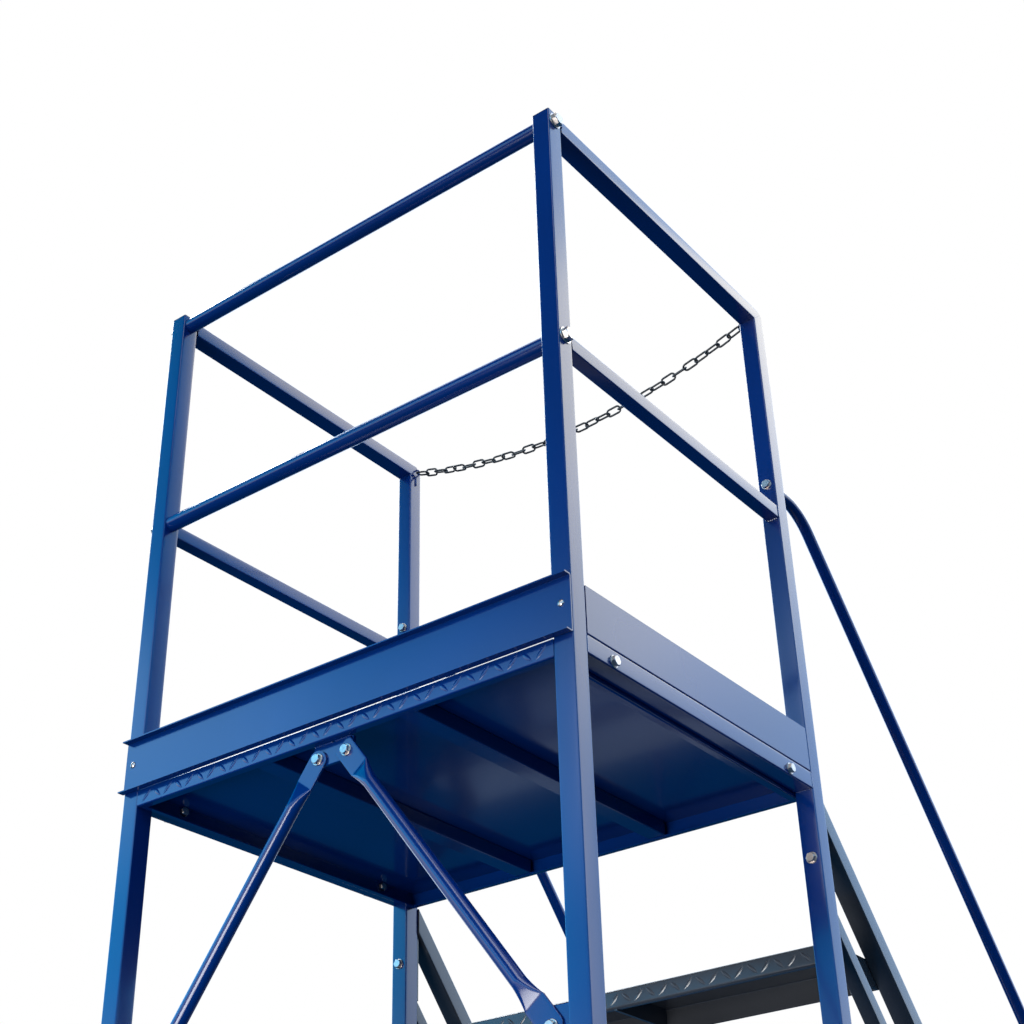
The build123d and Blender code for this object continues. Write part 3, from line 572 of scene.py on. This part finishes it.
# Braces: round tube pressed flat at both ends, their bracket and lugs
brace = {"diameter": 26.9, "flat": (4.5, 42.0), "reach": 50.0, "end": 17.0, "taper": 46.0, "plate": 6.0,
         "head": (34.0, 62.0), "foot": (40.0, 618.0), "lugEnd": 24.0}
bracketLow, bracketHigh = cad("brace_bracket")
lugLow, lugHigh = cad("brace_lugs")
braceY = bracketHigh[1] + brace["flat"][0] / 2
braceHead = np.array([brace["head"][0], braceY, deckTop - brace["head"][1]])
braceFoot = np.array([innerFace - brace["foot"][0], braceY, deckTop - brace["foot"][1]])


def braceTube(roundHead):
    # Rings go over from a flat bar to a circle along the taper and back again; a round end narrows as the
    # root of 1 minus the squared share of its length
    way = unit(braceFoot - braceHead)
    full = np.linalg.norm(braceFoot - braceHead)
    ease = np.linspace(0, 1, 13)
    end = np.cos(np.linspace(0.02, np.pi / 2, 10))
    taper = brace["reach"] + brace["taper"] * ease
    place = np.r_[-end * brace["end"], taper, full - taper[::-1], full + end[::-1] * brace["end"]]
    share = np.r_[0 * end, ease, ease[::-1], 0 * end][:, None, None]
    share = 1.6 * share - 0.6 * share ** 2
    narrow = np.sqrt(1 - end ** 2)
    wide = np.r_[narrow if roundHead else end ** 0, np.ones(2 * len(ease)), narrow[::-1]]
    ring = circle(1.0, 48)
    flat = np.sign(ring) * np.abs(ring) ** 0.16 * np.array(brace["flat"]) / 2
    loops = flat * (1 - share) + ring * brace["diameter"] / 2 * share
    loops[..., 1] *= wide[:, None]
    return [carry(loops, braceHead + place[:, None] * way, y, np.cross(way, y))]


addPiece("brace.right", braceTube(True))
addPiece("brace.left", mirrored(braceTube(False)))
addPiece("braceBracket", [box(bracketLow, bracketHigh, 1.0)])
addBoth("braceLugs", [box((lugHigh[0], *lugLow[1:]), (braceFoot[0] - brace["lugEnd"], *lugHigh[1:]), 1.0)])
print("braces made")


# Flight: sloping bars, treads of chequer plate, hangers
flight = {"rise": 300.0, "going": 258.0, "drop": 30.0, "inset": 4.0, "upper": (40.0, 37.0), "gap": 98.0,
          "lower": (30.0, 30.0), "hanger": 28.0, "treads": 8}
tread = {"depth": 197.0, "thickness": 3.0, "front": 52.0, "rear": 39.0, "lip": 12.0, "bend": 5.0, "end": 4.0,
         "tab": 48.0, "rib": (6.0, 42.0), "bare": (6.0, 4.0, 9.0)}
slope = unit([0, -flight["going"], -flight["rise"]])
square = np.cross(slope, x)
pitch = flight["rise"] / flight["going"]
barX = halfWidth - flight["inset"] - flight["upper"][0] / 2
flightInner = barX - flight["upper"][0] / 2
bars = ((flight["upper"], 0), (flight["lower"], flight["upper"][1] + flight["gap"]))  # section and depth


def nosing(place):  # height of the line through the nosings
    return deckTop - flight["drop"] + (place - frontFace) * pitch


def treadPlace(step):  # top and front edge of a tread
    drop = step * flight["rise"]
    return deckTop - drop, frontFace - (drop - flight["drop"]) / pitch


def slopingBar(section, below):
    # The ends slide along the slope, up to the posts' faces and down to the base
    loop = tubeLoop(*section)
    start = np.array([barX, frontFace, nosing(frontFace)]) - square * (below + section[1] / 2)
    points, faces = straight(loop, start, start + slope * 3000, x)
    head, foot = points[:len(loop)], points[len(loop):]
    head += ((frontFace - head[:, 1]) / slope[1])[:, None] * slope
    foot += ((baseTop - foot[:, 2]) / slope[2])[:, None] * slope
    return [(points, faces)]


def treadPlate(step):
    # Folded sheet, end plates, tabs to the lower bars, a rib under the middle
    top, front = treadPlace(step)
    deep, t, wide, rib = tread["depth"], tread["thickness"], flightInner, tread["rib"]
    rear, foot, inner = front + deep, top - tread["front"], wide - tread["end"]
    corners = [(0, -tread["front"]), (0, 0), (deep, 0), (deep, -tread["rear"]),
               (deep - tread["lip"], -tread["rear"])]
    loop = sheet(corners, t, tread["bend"])
    ends = [box((inner, front + 1, foot), (wide, rear - 1, top - 1.5)),
            box((inner, rear - tread["tab"], foot), (barX - flight["lower"][0] / 2, rear, top - t)),
            bead([(inner - 0.5, front + t, foot + 1), (inner - 0.5, rear - 60, foot + 1)], 2.2)]
    side, edge, edges = tread["bare"]  # plain strips beside and round the pattern
    span = 2 * (wide - side)
    return bothSides(ends) + [
        carry(loop, [(-wide, front, top), (wide, front, top)], y, z),
        box((-rib[0] / 2, front + t, top - rib[1]), (rib[0] / 2, rear - t, top - t), 0.6),
        lensField((side - wide, front + edge, top), x, y, (span, deep - 2 * edge)),
        lensField((side - wide, front, foot + edge), x, z, (span, tread["front"] - edges)),
        lensField((wide - side, rear, top - tread["rear"] + edge), -x, z, (span, tread["rear"] - edges))]


def hanger():
    (left, foot), (right, top) = cad("stringer_hangers")[:, 1:]
    outline = [(left, foot), (right, foot), (right, top), (left, top + (left - right) * pitch)]
    return [slab(outline, (barX - flight["hanger"] / 2) * x, y, z, flight["hanger"])]


addBoth("stringerUpperBars", slopingBar(*bars[0]), "charcoal_paint")
addBoth("stringerLowerBars", slopingBar(*bars[1]), "charcoal_paint")
addBoth("stringerHangers", hanger(), "charcoal_paint")
for step in range(1, flight["treads"] + 1):
    addPiece(f"tread.{step}", treadPlate(step), "charcoal_paint")
print("flight made")


# Handrails: bent tube from the front posts down along the flight, uprights on foot plates
handrail = {"radius": 13.45, "top": 682.0, "height": 822.0, "bend": 130.0, "leg": 1960.0, "stanchion": 1120.0,
            "plate": (35.2, 90.0, 5.0)}
handLoop = circle(handrail["radius"])


def railFoot(place):
    # Sloping plate, and the weld round an upright that stands on it
    wide, long, thick = handrail["plate"]
    outline = np.array([(-1, -1), (1, -1), (1, 1), (-1, 1)]) * [wide / 2, long / 2]
    across, ahead = circle(handrail["radius"] + 0.6, 40)[np.arange(41) % 40].T
    path = np.c_[postX + across, place + ahead, nosing(place + ahead) + thick / square[2]]
    return [slab(outline, np.array([barX, place, nosing(place)]), x, -slope, thick), bead(path, 2.4)]


def bentRail():
    top, high, legY = deckTop + handrail["top"], handrail["height"], frontFace - handrail["leg"]
    corner = frontFace - (high - flight["drop"] - handrail["top"]) / pitch
    corners = [(frontFace, top), (corner, top), (legY, nosing(legY) + high), (legY, nosing(legY))]
    line = bendLine(corners, handrail["bend"], 14)
    points, faces = along(handLoop, np.c_[np.full(len(line), postX), line], x)
    head, foot = points[:len(handLoop)], points[-len(handLoop):]
    head[:, 1] = frontFace
    foot[:, 2] = nosing(foot[:, 1])
    return [(points, faces)] + railFoot(legY)


def stanchion():
    # Both ends follow the slope; the upper weld is a saddle
    place, high, reach = frontFace - handrail["stanchion"], handrail["height"], handrail["radius"]
    points, faces = straight(handLoop, (postX, place, 0), (postX, place, high), x)
    points[:, 2] = nosing(points[:, 1]) + np.repeat([0, high - 4], len(handLoop))
    across, ahead = reach * ray(np.linspace(0, 2 * np.pi, 49)).T
    level = nosing(place + ahead) + high - 0.98 / square[2] * np.abs(ahead)
    saddle = np.c_[postX + across, place + ahead, level]
    return [(points, faces), *railFoot(place), bead(saddle, 2.2)]


addPairs(("handrail.", bentRail()))
addBoth("handrailStanchions", stanchion())
print("handrails made")


# Base frame and side ties
footing = {"swivel": 155.0, "fixed": 55.0, "side": 50.0}  # how far in the castors sit
baseMiddle = baseTop - size / 2
swivelY, fixedY = baseFront + footing["swivel"], backFace - footing["fixed"]
padX = halfWidth - footing["side"]
crossYs = (backY, frontY, swivelY)


def baseCrossTubes():
    tubes = [straight(squareLoop, (-innerFace, place, baseMiddle), (innerFace, place, baseMiddle), y)
             for place in crossYs]
    welds = [beadRound(size, size, (innerFace, place, baseMiddle), y, z) for place in crossYs]
    posts = [beadRound(size, size, (postX, place, baseTop), x, y) for place in (backY, frontY)]
    return tubes + bothSides(welds + posts)


def sideTie():
    (front, low), (back, high) = cad("side_ties")[:, 1:]
    level = (low + high) / 2
    return [levelTube(midLoop, (midX, level), back, front)] + [
        beadRound(rail["mid"], rail["mid"], (midX, end, level), x, z) for end in (back, front)]


addBoth("baseRails", [levelTube(squareLoop, (postX, baseMiddle), backFace, baseFront)])
addPiece("baseCrossTubes", baseCrossTubes())
addBoth("sideTies", sideTie())
print("base made")


# Welds, painted over
weld = {"mitre": 0.7, "seam": 0.6, "seamPitch": 9.0, "top": 1.6, "rail": 1.8, "saw": 3.2, "bracket": 2.4,
        "plate": 2.6, "tread": 2.0}


def platformWelds():
    midTop, chamfer = midZ + rail["mid"] / 2, rail["chamfer"]
    kink = chamfer / (1 + railHigh / size)
    inner, outer = innerFace + 3, halfWidth - 2.5
    parts = [bead([(innerFace + 2, insideBack, railTop), (outer, insideBack, railTop)], weld["top"]),
             bead([(midX - 13, insideBack, midTop), (midX + 13, insideBack, midTop)], weld["rail"]),
             beadRound(rail["mid"], rail["mid"], (midX, insideFront, midZ), x, z, weld["rail"]),
             bead([(2, *bracketHigh[1:]), (bracketHigh[0] - 2, *bracketHigh[1:])], weld["bracket"])]
    parts += [beadRound(size - 2, beamHigh - 2, (postX, place, beamZ), x, z, weld["rail"])
              for place in (insideBack, insideFront)]
    for edge, way in ((halfWidth, -1), (innerFace, 1)):
        saw, ground = edge + 0.6 * way, edge + 0.3 * way  # the ground mitre shows as a thin raised line
        cut = [(saw, insideBack - 1, railTop - 2), (saw, insideBack - 2.4, railTop - 22)]
        seam = [(ground, frontFace + kink, railTop - chamfer + kink), (ground, insideFront, railBottom)]
        parts += [bead(cut, weld["saw"]), bead(seam, weld["mitre"], weld["seamPitch"])]
    for place, level in ((frontFace, railTop - chamfer), (frontFace + chamfer, railTop)):
        parts.append(bead([(inner, place, level), (outer, place, level)], weld["seam"], weld["seamPitch"]))
    for place in (lugHigh[1], lugLow[1]):
        ends = [(innerFace, place, lugLow[2] + 2), (innerFace, place, lugHigh[2] - 2)]
        parts.append(bead(ends, weld["plate"]))
    return parts


def flightWelds():
    # Where a tread's end meets the upper bar, and bars land on the base
    parts = []
    for step in range(1, flight["treads"] + 1):
        top, front = treadPlace(step)
        reach, rear = front + flight["upper"][1] / -slope[2] - 6, front + tread["depth"]
        parts += [bead([(flightInner, front + 3, top), (flightInner, reach, top)], weld["tread"]),
                  bead([(flightInner + 5, rear, top - 12), (flightInner + 5, rear, top - 45)], weld["tread"])]
    for section, below in bars:
        lead = frontFace - (nosing(frontFace) - below / -slope[1] - baseTop) / pitch
        span = section[1] / -slope[2]
        parts.append(beadRound(section[0], span, (barX, lead + span / 2, baseTop), x, y))
    return parts


addBoth("platformWelds", platformWelds())
addBoth("flightWelds", flightWelds(), "charcoal_paint")
print("welds made")


# Safety chain on wire eyes
chain = {"wire": 5.0, "inner": (32.3, 11.0), "twist": (30.0, 72.0), "count": 31, "endSpacing": 13.65,
         "sag": 80.2}
eye = {"wire": 4.0, "bend": 10.0, "tail": 34.0, "reach": 12.0, "drop": 27.0, "weld": 1.4}
eyeX, eyeZ = innerFace - eye["reach"], railTop - eye["drop"]


def linkLoop():
    # Wire round a stadium: two half circles joined by straight sides
    bend = (chain["inner"][1] + chain["wire"]) / 2
    half = (chain["inner"][0] + chain["wire"]) / 2 - bend
    turn = np.linspace(-np.pi / 2, np.pi / 2, 13)
    out = ray(np.r_[turn, turn + np.pi]) @ [x, y]
    centre = np.repeat([half * x, -half * x], len(turn), 0)
    return carry(circle(chain["wire"] / 2, 10), centre + bend * out, out, -z, ring=True)


def chainLinks():
    # Links at equal steps along a parabola, each twisted on from the one nearer the end
    places = np.linspace(-eyeX, eyeX, 4001)
    drops = eyeZ - chain["sag"] * (1 - (places / eyeX) ** 2)
    run = np.r_[0, np.cumsum(np.hypot(np.diff(places), np.diff(drops)))]
    stations = np.linspace(chain["endSpacing"], run[-1] - chain["endSpacing"], chain["count"])
    px, pz = np.interp(stations, run, places), np.interp(stations, run, drops)
    lean = np.arctan(2 * chain["sag"] * px / eyeX ** 2)
    ahead, over = ray(lean) @ [x, z], ray(lean) @ [z, -x]
    number = np.arange(chain["count"])
    inward = np.minimum(number, number[::-1])
    first, step = chain["twist"]
    twist = np.radians(np.where(inward == 0, 90.0, first + step * (inward - 1)))
    second = np.sin(twist)[:, None] * y + np.cos(twist)[:, None] * over
    turn = np.stack([ahead, second, np.cross(ahead, second)], 1)
    points, faces = linkLoop()
    placed = points @ turn + np.c_[px, 0 * px + frontY, pz][:, None]
    shift = number[:, None, None] * len(points)
    return [(placed.reshape(-1, 3), [(faces[0] + shift).reshape(-1, 4)])]


def chainEye():
    # A staple whose bend faces the chain's pull, and its tail down the post
    pull = ray(np.arctan(2 * chain["sag"] / eyeX)) @ [x, z]
    angle = np.linspace(np.pi / 2, 3 * np.pi / 2, 21)
    arc = np.array([eyeX, frontY, eyeZ]) + eye["bend"] * (pull + ray(angle) @ [x, z])
    path = np.r_[[(innerFace, frontY, arc[0, 2])], arc, [(innerFace, frontY, arc[-1, 2])]]
    loop = circle(eye["wire"] / 2, 12)
    tailX, tailZ = innerFace - eye["wire"] / 2, eyeZ - eye["tail"]
    welds = [bead([(innerFace, frontY + at, tailZ + 3), (innerFace, frontY + at, eyeZ - 12)], eye["weld"])
             for at in (-2, 2)]
    tail = straight(loop, (tailX, frontY, tailZ), (tailX, frontY, arc[-1, 2]), x)
    return [along(loop, path, y), tail] + welds


addPiece("chainLinks", chainLinks(), "chain_steel", "chain")
addBoth("chainEyes", chainEye())
print("chain made")


# Fasteners, one set on the +X side and its mirror image
railBolt = {"flats": 24.0, "head": 11.0, "margin": 5.0, "heights": (1144.0, 611.0)}
frameBolt = {"flats": 17.0, "head": 6.4, "margin": 3.0, "nut": 8.0, "shank": 5.0,
             "beam": (116.0, 128.0, 12.0), "hanger": 161.0, "spins": (0.3, 1.3, 0.1, 1.1, 0.45, 1.45),
             "nutSpins": (0.2, 1.2, 0.7, 1.7, 0.4)}
castorBolt = {"flats": 13.0, "head": 5.3, "margin": 3.0, "spacing": (36.0, 40.0)}
toeScrew = {"head": 6.5, "dome": 3.6, "height": 56.0}
padLow, padHigh = cad("castor_pads")
plateBottom = padLow[2] - 4


def railBolts():
    return [part for spin, height in zip((0.2, 0.5), railBolt["heights"])
            for part in bolt((halfWidth, backY, deckTop + height), x, railBolt, spin)]


def fixings():
    # Places of a bolt's head and its nut, and the way the head looks; the last has no nut
    back, front, drop = frameBolt["beam"]
    half = y * brace["flat"][0] / 2
    rows = [((halfWidth, place, deckTop - drop), (innerFace - 3, place, deckTop - drop), x)
            for place in (backFace - back, frontFace + front)]
    rows += [(place + half, place - half - y * brace["plate"], y) for place in (braceHead, braceFoot)]
    return rows + [((postX, insideFront, deckTop + rise), (postX, frontFace - 6, deckTop + rise), y)
                   for rise in (-frameBolt["hanger"], handrail["top"])]


def frameBolts():
    return [part for (head, nut, way), spin in zip(fixings(), frameBolt["spins"])
            for part in bolt(head, way, frameBolt, spin)]


def frameNuts():
    # A hex nut and the rounded end of the shank
    thick, shank = frameBolt["nut"], frameBolt["shank"]
    profile = [(0, shank), (thick - 0.6, shank), (thick, shank - 0.6)]
    return [part for (head, nut, way), spin in zip(fixings(), frameBolt["nutSpins"]) for part in
            (hexNut(nut, -way, frameBolt["flats"], thick - 0.6, spin), turned(profile, nut, -way, 20))]


def toeScrews():
    # Domed head: a quarter ellipse, with a small round recess
    head, dome = toeScrew["head"], toeScrew["dome"]
    curve = ray(np.linspace(0, np.pi / 2, 9))[:-2, ::-1] * [dome, head] + [0, 0.02]
    profile = np.r_[[(0, head)], curve, [(dome * 0.98, 2.2), (dome * 0.55, 2.0)]]
    return [turned(profile, (postX, backFace + toe["thickness"], deckTop + toeScrew["height"]), y, 32)]


def castorBolts():
    wide, deep = castorBolt["spacing"]
    return [part for place in (fixedY, swivelY) for dx in (-wide, wide) for dy in (-deep, deep)
            for part in bolt((padX + dx, place + dy, plateBottom), -z, castorBolt, 0.05 * (dx + dy))]


def tubeCaps():
    loop = roundLoop(size, size, tube["radius"])
    stations = np.array([[0], [1.3], [2.0]])
    loops = np.stack([loop, loop, inset(loop, 0.9)])
    return [carry(loops, (postX, backY, postTop) + stations * z, x, y),
            carry(loops, (postX, baseFront, baseMiddle) - stations * y, x, z)]


for name, parts in (("railBolts", railBolts()), ("frameBolts", frameBolts()), ("frameNuts", frameNuts()),
                    ("toeBoardScrews", toeScrews()), ("castorBolts", castorBolts())):
    addBoth(name, parts, "zinc_steel")
addBoth("tubeCaps", tubeCaps(), "cap_plastic")
print("fasteners made")


# Castors, on the +X side and mirrored
castor = {"plate": (92.0, 100.0), "pad": (100.0, 110.0), "cheek": 4.0, "cheekWidth": 44.0, "inner": 21.0,
          "race": (28.0, 9.0), "crown": 6.0, "gap": 0.5, "kingpin": (6.0, 10.0), "trail": 38.0}
wheel = {"radius": 62.5, "width": 36.0, "rim": 48.0, "hub": 21.0, "web": 10.0, "ribs": 8, "shoulder": 7.2}
axle = {"flats": 18.0, "head": 6.4, "margin": 3.0, "radius": 6.0, "nut": 8.0}
pedal = {"out": 58.0, "up": 40.0, "corner": 14.0, "hub": 7.0, "hubHalf": 20.5, "pin": 4.0, "reach": 55.0,
         "width": 34.0, "plate": 4.0, "tilt": 12.0, "ribs": 5}
axleY = swivelY - castor["trail"]
crownTop = plateBottom - castor["race"][1] - castor["gap"]
crownBottom = crownTop - castor["crown"]
outer = castor["inner"] + castor["cheek"]
pivot = np.array([padX, axleY - pedal["out"], wheel["radius"] + pedal["up"]])


def plateAt(place, low, high, sizes, corner):
    return slab(roundLoop(*sizes, corner), (padX, place, low), x, y, high - low, 0.7)


def castorPlate(place):
    return plateAt(place, plateBottom, padLow[2], castor["plate"], 9.0)


def cheeks(corners):
    # Outline in YZ, one cheek each side of the wheel
    return [slab(rounded(corners, 5.0), (padX + at) * x, y, z, castor["cheek"])
            for at in (castor["inner"], -outer)]


def fixedBrackets():
    quarter = castor["cheekWidth"] / 4
    low, top = wheel["radius"] - quarter, castor["plate"][1] / 2 - quarter
    return [castorPlate(fixedY)] + cheeks([(fixedY - quarter, low), (fixedY + quarter, low),
                                           (fixedY + top, plateBottom), (fixedY - top, plateBottom)])


def swivelPlates():
    # Plate, ball race, kingpin head under the fork's crown
    (radius, deep), (pin, head) = castor["race"], castor["kingpin"]
    race = [(0, radius - 4), (1.0, radius), (deep * 0.55, radius), (deep, radius - 2.5)]
    under = castor["crown"] + 2 * castor["gap"]
    kingpin = [(0, pin), (under, pin), (under, head), (under + 3, head), (under + 4, head - 2)]
    return [castorPlate(swivelY), turned(race, (padX, swivelY, plateBottom), -z, 48),
            turned(kingpin, (padX, swivelY, crownTop + castor["gap"]), -z, 32)]


def fork():
    quarter, back, hub = castor["cheekWidth"] / 4, swivelY + castor["race"][0], pedal["corner"]
    low = wheel["radius"] - quarter
    crown = box((padX - castor["inner"], axleY, crownBottom), (padX + castor["inner"], back, crownTop), 1.5)
    return [crown] + cheeks([
        (axleY - quarter, low), (axleY + quarter, low), (back, crownBottom - castor["crown"]),
        (back, crownTop), (axleY, crownTop), *(pivot[1:] + ((-hub, hub), (-hub, -hub)))])


def axleAt(place):
    middle = np.array([padX, place, wheel["radius"]])
    shaft = turned([(-outer, axle["radius"]), (outer, axle["radius"])], middle, x, 32)
    return bolt(middle + outer * x, x, axle, 0.3) + [
        hexNut(middle - outer * x, -x, axle["flats"], axle["nut"], 0.9), shaft]


def tyre(place):
    # Rounded shoulders, a shallow groove in each side wall
    half, radius, rim, bend = wheel["width"] / 2, wheel["radius"], wheel["rim"], wheel["shoulder"]
    shoulder = [half - bend, radius - bend] + bend * ray(np.linspace(0, np.pi / 2, 8))[:, ::-1]
    wall = [(half, rim + 5.5), (half - 0.8, rim + 5), (half - 0.8, rim + 3.5), (half, rim + 3), (half, rim)]
    right = np.r_[shoulder, wall]
    return [turned(np.r_[right[::-1] * [-1, 1], right], (padX, place, radius), x, 72, True)]


def wheelCore(place):
    # Rim, web and hub in one lathe profile, ribs across the web
    half, rim, hub, web = wheel["width"] / 2, wheel["rim"], wheel["hub"], wheel["web"] / 2
    hubHalf = castor["inner"] - 0.5
    middle = np.array([padX, place, wheel["radius"]])
    right = np.array([(hubHalf, 7), (hubHalf, hub - 5), (hubHalf - 1, hub - 4), (web, hub), (web, rim - 6),
                      (half - 1, rim - 5), (half, rim - 4), (half, rim)])
    parts = [turned(np.r_[right * [-1, 1], right[::-1]], middle, x, 72, True)]
    outline = [(4 - half, hub - 6), (half - 4, hub - 6), (half - 3, rim - 4), (3 - half, rim - 4)]
    for out in circle(1.0, wheel["ribs"]) @ [y, z]:
        parts.append(slab(outline, middle - np.cross(x, out) * 2, x, out, 4.0, 0.6))
    return parts


def brakePedal():
    # Hub and pin, a tilted lever that thickens to a ribbed pad
    hub, half, pin = pedal["hub"], pedal["hubHalf"], pedal["pin"]
    barrel = [(-half, hub - 0.6), (0.5 - half, hub), (half - 0.5, hub), (half, hub - 0.6)]
    pinLine = [(-outer - 1.6, pin - 1.2), (-outer - 0.7, pin), (outer + 0.7, pin), (outer + 1.6, pin - 1.2)]
    tilt = np.radians(pedal["tilt"])
    ahead, over = -ray(tilt) @ [y, z], ray(tilt) @ [z, -y]
    wide, thick, lever = pedal["width"], pedal["plate"], ahead * pedal["reach"]
    plate, pad = (roundLoop(wide, pedal["reach"] * share, 6.0) for share in (1, 0.5))
    rib = roundLoop(wide - 8, 2.4, 1.0)
    return [turned(barrel, pivot, x, 32), turned(pinLine, pivot, x, 24),
            slab(plate, pivot + lever / 2 - over * thick / 2, x, -ahead, thick),
            slab(pad, pivot + lever * 0.75, x, -ahead, thick)] + [
        slab(rib, pivot + lever * place + over * (thick - 0.2), x, -ahead, 1.2, 0.4)
        for place in np.linspace(0.56, 0.94, pedal["ribs"])]


pads = [plateAt(place, padLow[2], padHigh[2], castor["pad"], 4.0) for place in (fixedY, swivelY)]
addBoth("castorPads", pads)
addBoth("fixedCastorBrackets", fixedBrackets(), "zinc_steel")
addBoth("fixedCastorAxles", axleAt(fixedY), "zinc_steel")
addBoth("swivelPlates", swivelPlates(), "zinc_steel")
addPairs(("castorFork.", fork(), "zinc_steel", "castor_"),
         ("castorAxle.", axleAt(axleY), "zinc_steel", "castor_"),
         ("brakePedal.", brakePedal(), "pedal_plastic", "pedal_"),
         ("tyre.front_", tyre(axleY), "tyre_rubber", "wheel_front_"),
         ("wheelCore.front_", wheelCore(axleY), "wheel_plastic", "wheel_front_"),
         ("tyre.back_", tyre(fixedY), "tyre_rubber", "wheel_back_"),
         ("wheelCore.back_", wheelCore(fixedY), "wheel_plastic", "wheel_back_"))
print("castors made")


# Stage: pale floor that fades out, soft boxes, white surroundings
floorLook = {"radius": 7.0, "colour": (0.78, 0.63, 0.52, 1), "roughness": 0.75, "fade": (0.45, 0.97)}


def makeFloor():
    # Flat lathe: the radius of each ring grows as a power of its number
    reach = floorLook["radius"] * 1000 * np.linspace(0.002, 1, 12) ** 1.4
    points, faces = turned(np.c_[0 * reach, reach], (0, 0, 0), -z, 64)
    material, shader, base, where = newFinish("paleFloor")
    far = base.node("ShaderNodeVectorMath", {0: where}, 1, operation="LENGTH")
    start, end = (share * floorLook["radius"] for share in floorLook["fade"])
    base.feed(shader, {"Base Color": floorLook["colour"], "Roughness": floorLook["roughness"],
                       "Alpha": 1 - far.step(start, end)})
    floor = newObject("floor", [(points, faces[:-1])], material)
    floor.visible_diffuse = floor.visible_glossy = False  # no pale glare from below under the deck


makeFloor()
sky = {"cloudColour": (1, 0.97, 0.88, 1), "gapColour": (0.38, 0.62, 1, 1), "farColour": (0.05, 0.44, 1, 1),
       "stripColour": (0.62, 0.76, 1, 1), "blue": (0.0, 0.48, 1, 1), "groundColour": (0.01, 0.3, 0.8, 1),
       "topColour": (0.9, 0.95, 1, 1), "wallColour": (0.86, 0.92, 1, 1), "wall": 1.5, "ground": 0.2,
       "low": 1.8, "shade": 0.1, "east": 1.2, "strip": 3.0, "gap": 2.2, "cloud": 2.0, "top": 0.7,
       "tufts": 4.6, "bright": (-0.55, -0.83, 0), "clear": (0.83, -0.55, 0)}


def makeWorld():
    # White behind the object; the light comes from a clouded sky, bright on one side, over darker ground
    world = bpy.data.worlds.new("studio")
    bpy.context.scene.world = world
    world.use_nodes = True
    base = Value(world.node_tree)
    way = base.node("ShaderNodeTexCoord", output="Generated")
    up = base.node("ShaderNodeSeparateXYZ", {0: way}, 2)

    def facing(vector):
        return base.node("ShaderNodeVectorMath", {0: way, 1: vector}, 1, operation="DOT_PRODUCT")

    tufts = base.noise(way, sky["tufts"], 4.0, 0.55)
    side = facing(sky["bright"]).step(-0.35, 0.4)
    clear = facing(sky["clear"]).step(-0.22, -0.18)  # no clouds further round
    bank = up.step(0.4, 0.64) * (1 - up.step(0.63, 0.67))
    cover = (bank + tufts * 1.6).step(0.65, 1.7) * clear
    east = facing((1, 0, 0)).step(0.5, 0.64)
    strip = up.step(0.31, 0.38) * (1 - up.step(0.44, 0.48)) * tufts.step(0.3, 0.55) * (1 - east * 0.6)
    dim = sky["shade"] + (1 - up.step(0.3, 0.52)) * sky["low"] + east * sky["east"] + strip * sky["strip"]
    bright = sky["gap"] * (0.7 + clear * 0.3) + cover * sky["cloud"]
    high = up.step(0.75, 0.97)
    above = up.step(-0.06, 0.1)
    wall = 1 - up.step(0.14, 0.26)  # plain pale band along the horizon
    power = wall.mix(high.mix(side.mix(dim, bright), sky["top"]), sky["wall"])
    power = above.mix(sky["ground"], power)
    dimColour = strip.blend(sky["blue"], sky["stripColour"])
    gapColour = clear.blend(sky["farColour"], sky["gapColour"])
    colour = side.blend(dimColour, cover.blend(gapColour, sky["cloudColour"]))
    colour = wall.blend(high.blend(colour, sky["topColour"]), sky["wallColour"])
    colour = above.blend(sky["groundColour"], colour)
    seen = base.node("ShaderNodeLightPath", output="Is Camera Ray")
    shown = {"Color": seen.blend(colour, (1, 1, 1, 1)), "Strength": seen.mix(power, 1)}
    base.feed(world.node_tree.nodes["Background"], shown)


makeWorld()


def putInScene(name, data, place, right, over):
    # Lights and cameras look along the negative of the third axis
    made = bpy.data.objects.new(name, data)
    turn = np.eye(4)
    turn[:3] = np.stack([right, over, np.cross(right, over), place], 1)
    made.matrix_world = Matrix(turn.tolist())
    bpy.context.scene.collection.objects.link(made)
    return made


lights = {"key": ((-2.2, 6.2, 9.0), (0, 1.2, 2.8), 3.2, 110, 180),  # place, aim, size, power, spread
          "fill": ((0.3, 5.6, 0.9), (0, 0.9, 2.5), 2.4, 32, 70),
          "side": ((5.0, 0.6, 7.6), (0, -0.2, 2.0), 3.0, 150, 120),
          "top": ((1.0, 0.5, 8.0), (0, 0.4, 0), 4.0, 90, 180)}
for name, (place, aim, wide, power, spread) in lights.items():
    data = bpy.data.lights.new(name, "AREA")
    data.size = wide
    data.energy = power
    data.spread = np.radians(spread)
    back = unit(np.subtract(place, aim))
    right = unit(np.cross(z, back))
    putInScene(name, data, place, right, np.cross(back, right)).visible_camera = False

camera = {"place": (-1.8802, 3.4607, 1.4582), "heading": 36.588, "climb": 30.988, "roll": -1.558,
          "lens": 58.28, "shift": (0.0, 0.02)}
# Heading turns from -Y towards +X, climb is above the horizon
heading, climb, roll = (np.radians(camera[key]) for key in ("heading", "climb", "roll"))
ahead = ray(climb) @ [ray(heading) @ [-y, x], z]
right = unit(np.cross(ahead, z))
over = np.cross(right, ahead)
data = bpy.data.cameras.new("photoView")
data.lens = camera["lens"]
data.shift_x, data.shift_y = camera["shift"]
right, over = ray(roll) @ [right, over], ray(roll) @ [over, -right]
bpy.context.scene.camera = putInScene("photoView", data, camera["place"], right, over)
bpy.context.scene.view_settings.view_transform = "Standard"
print("stage made")
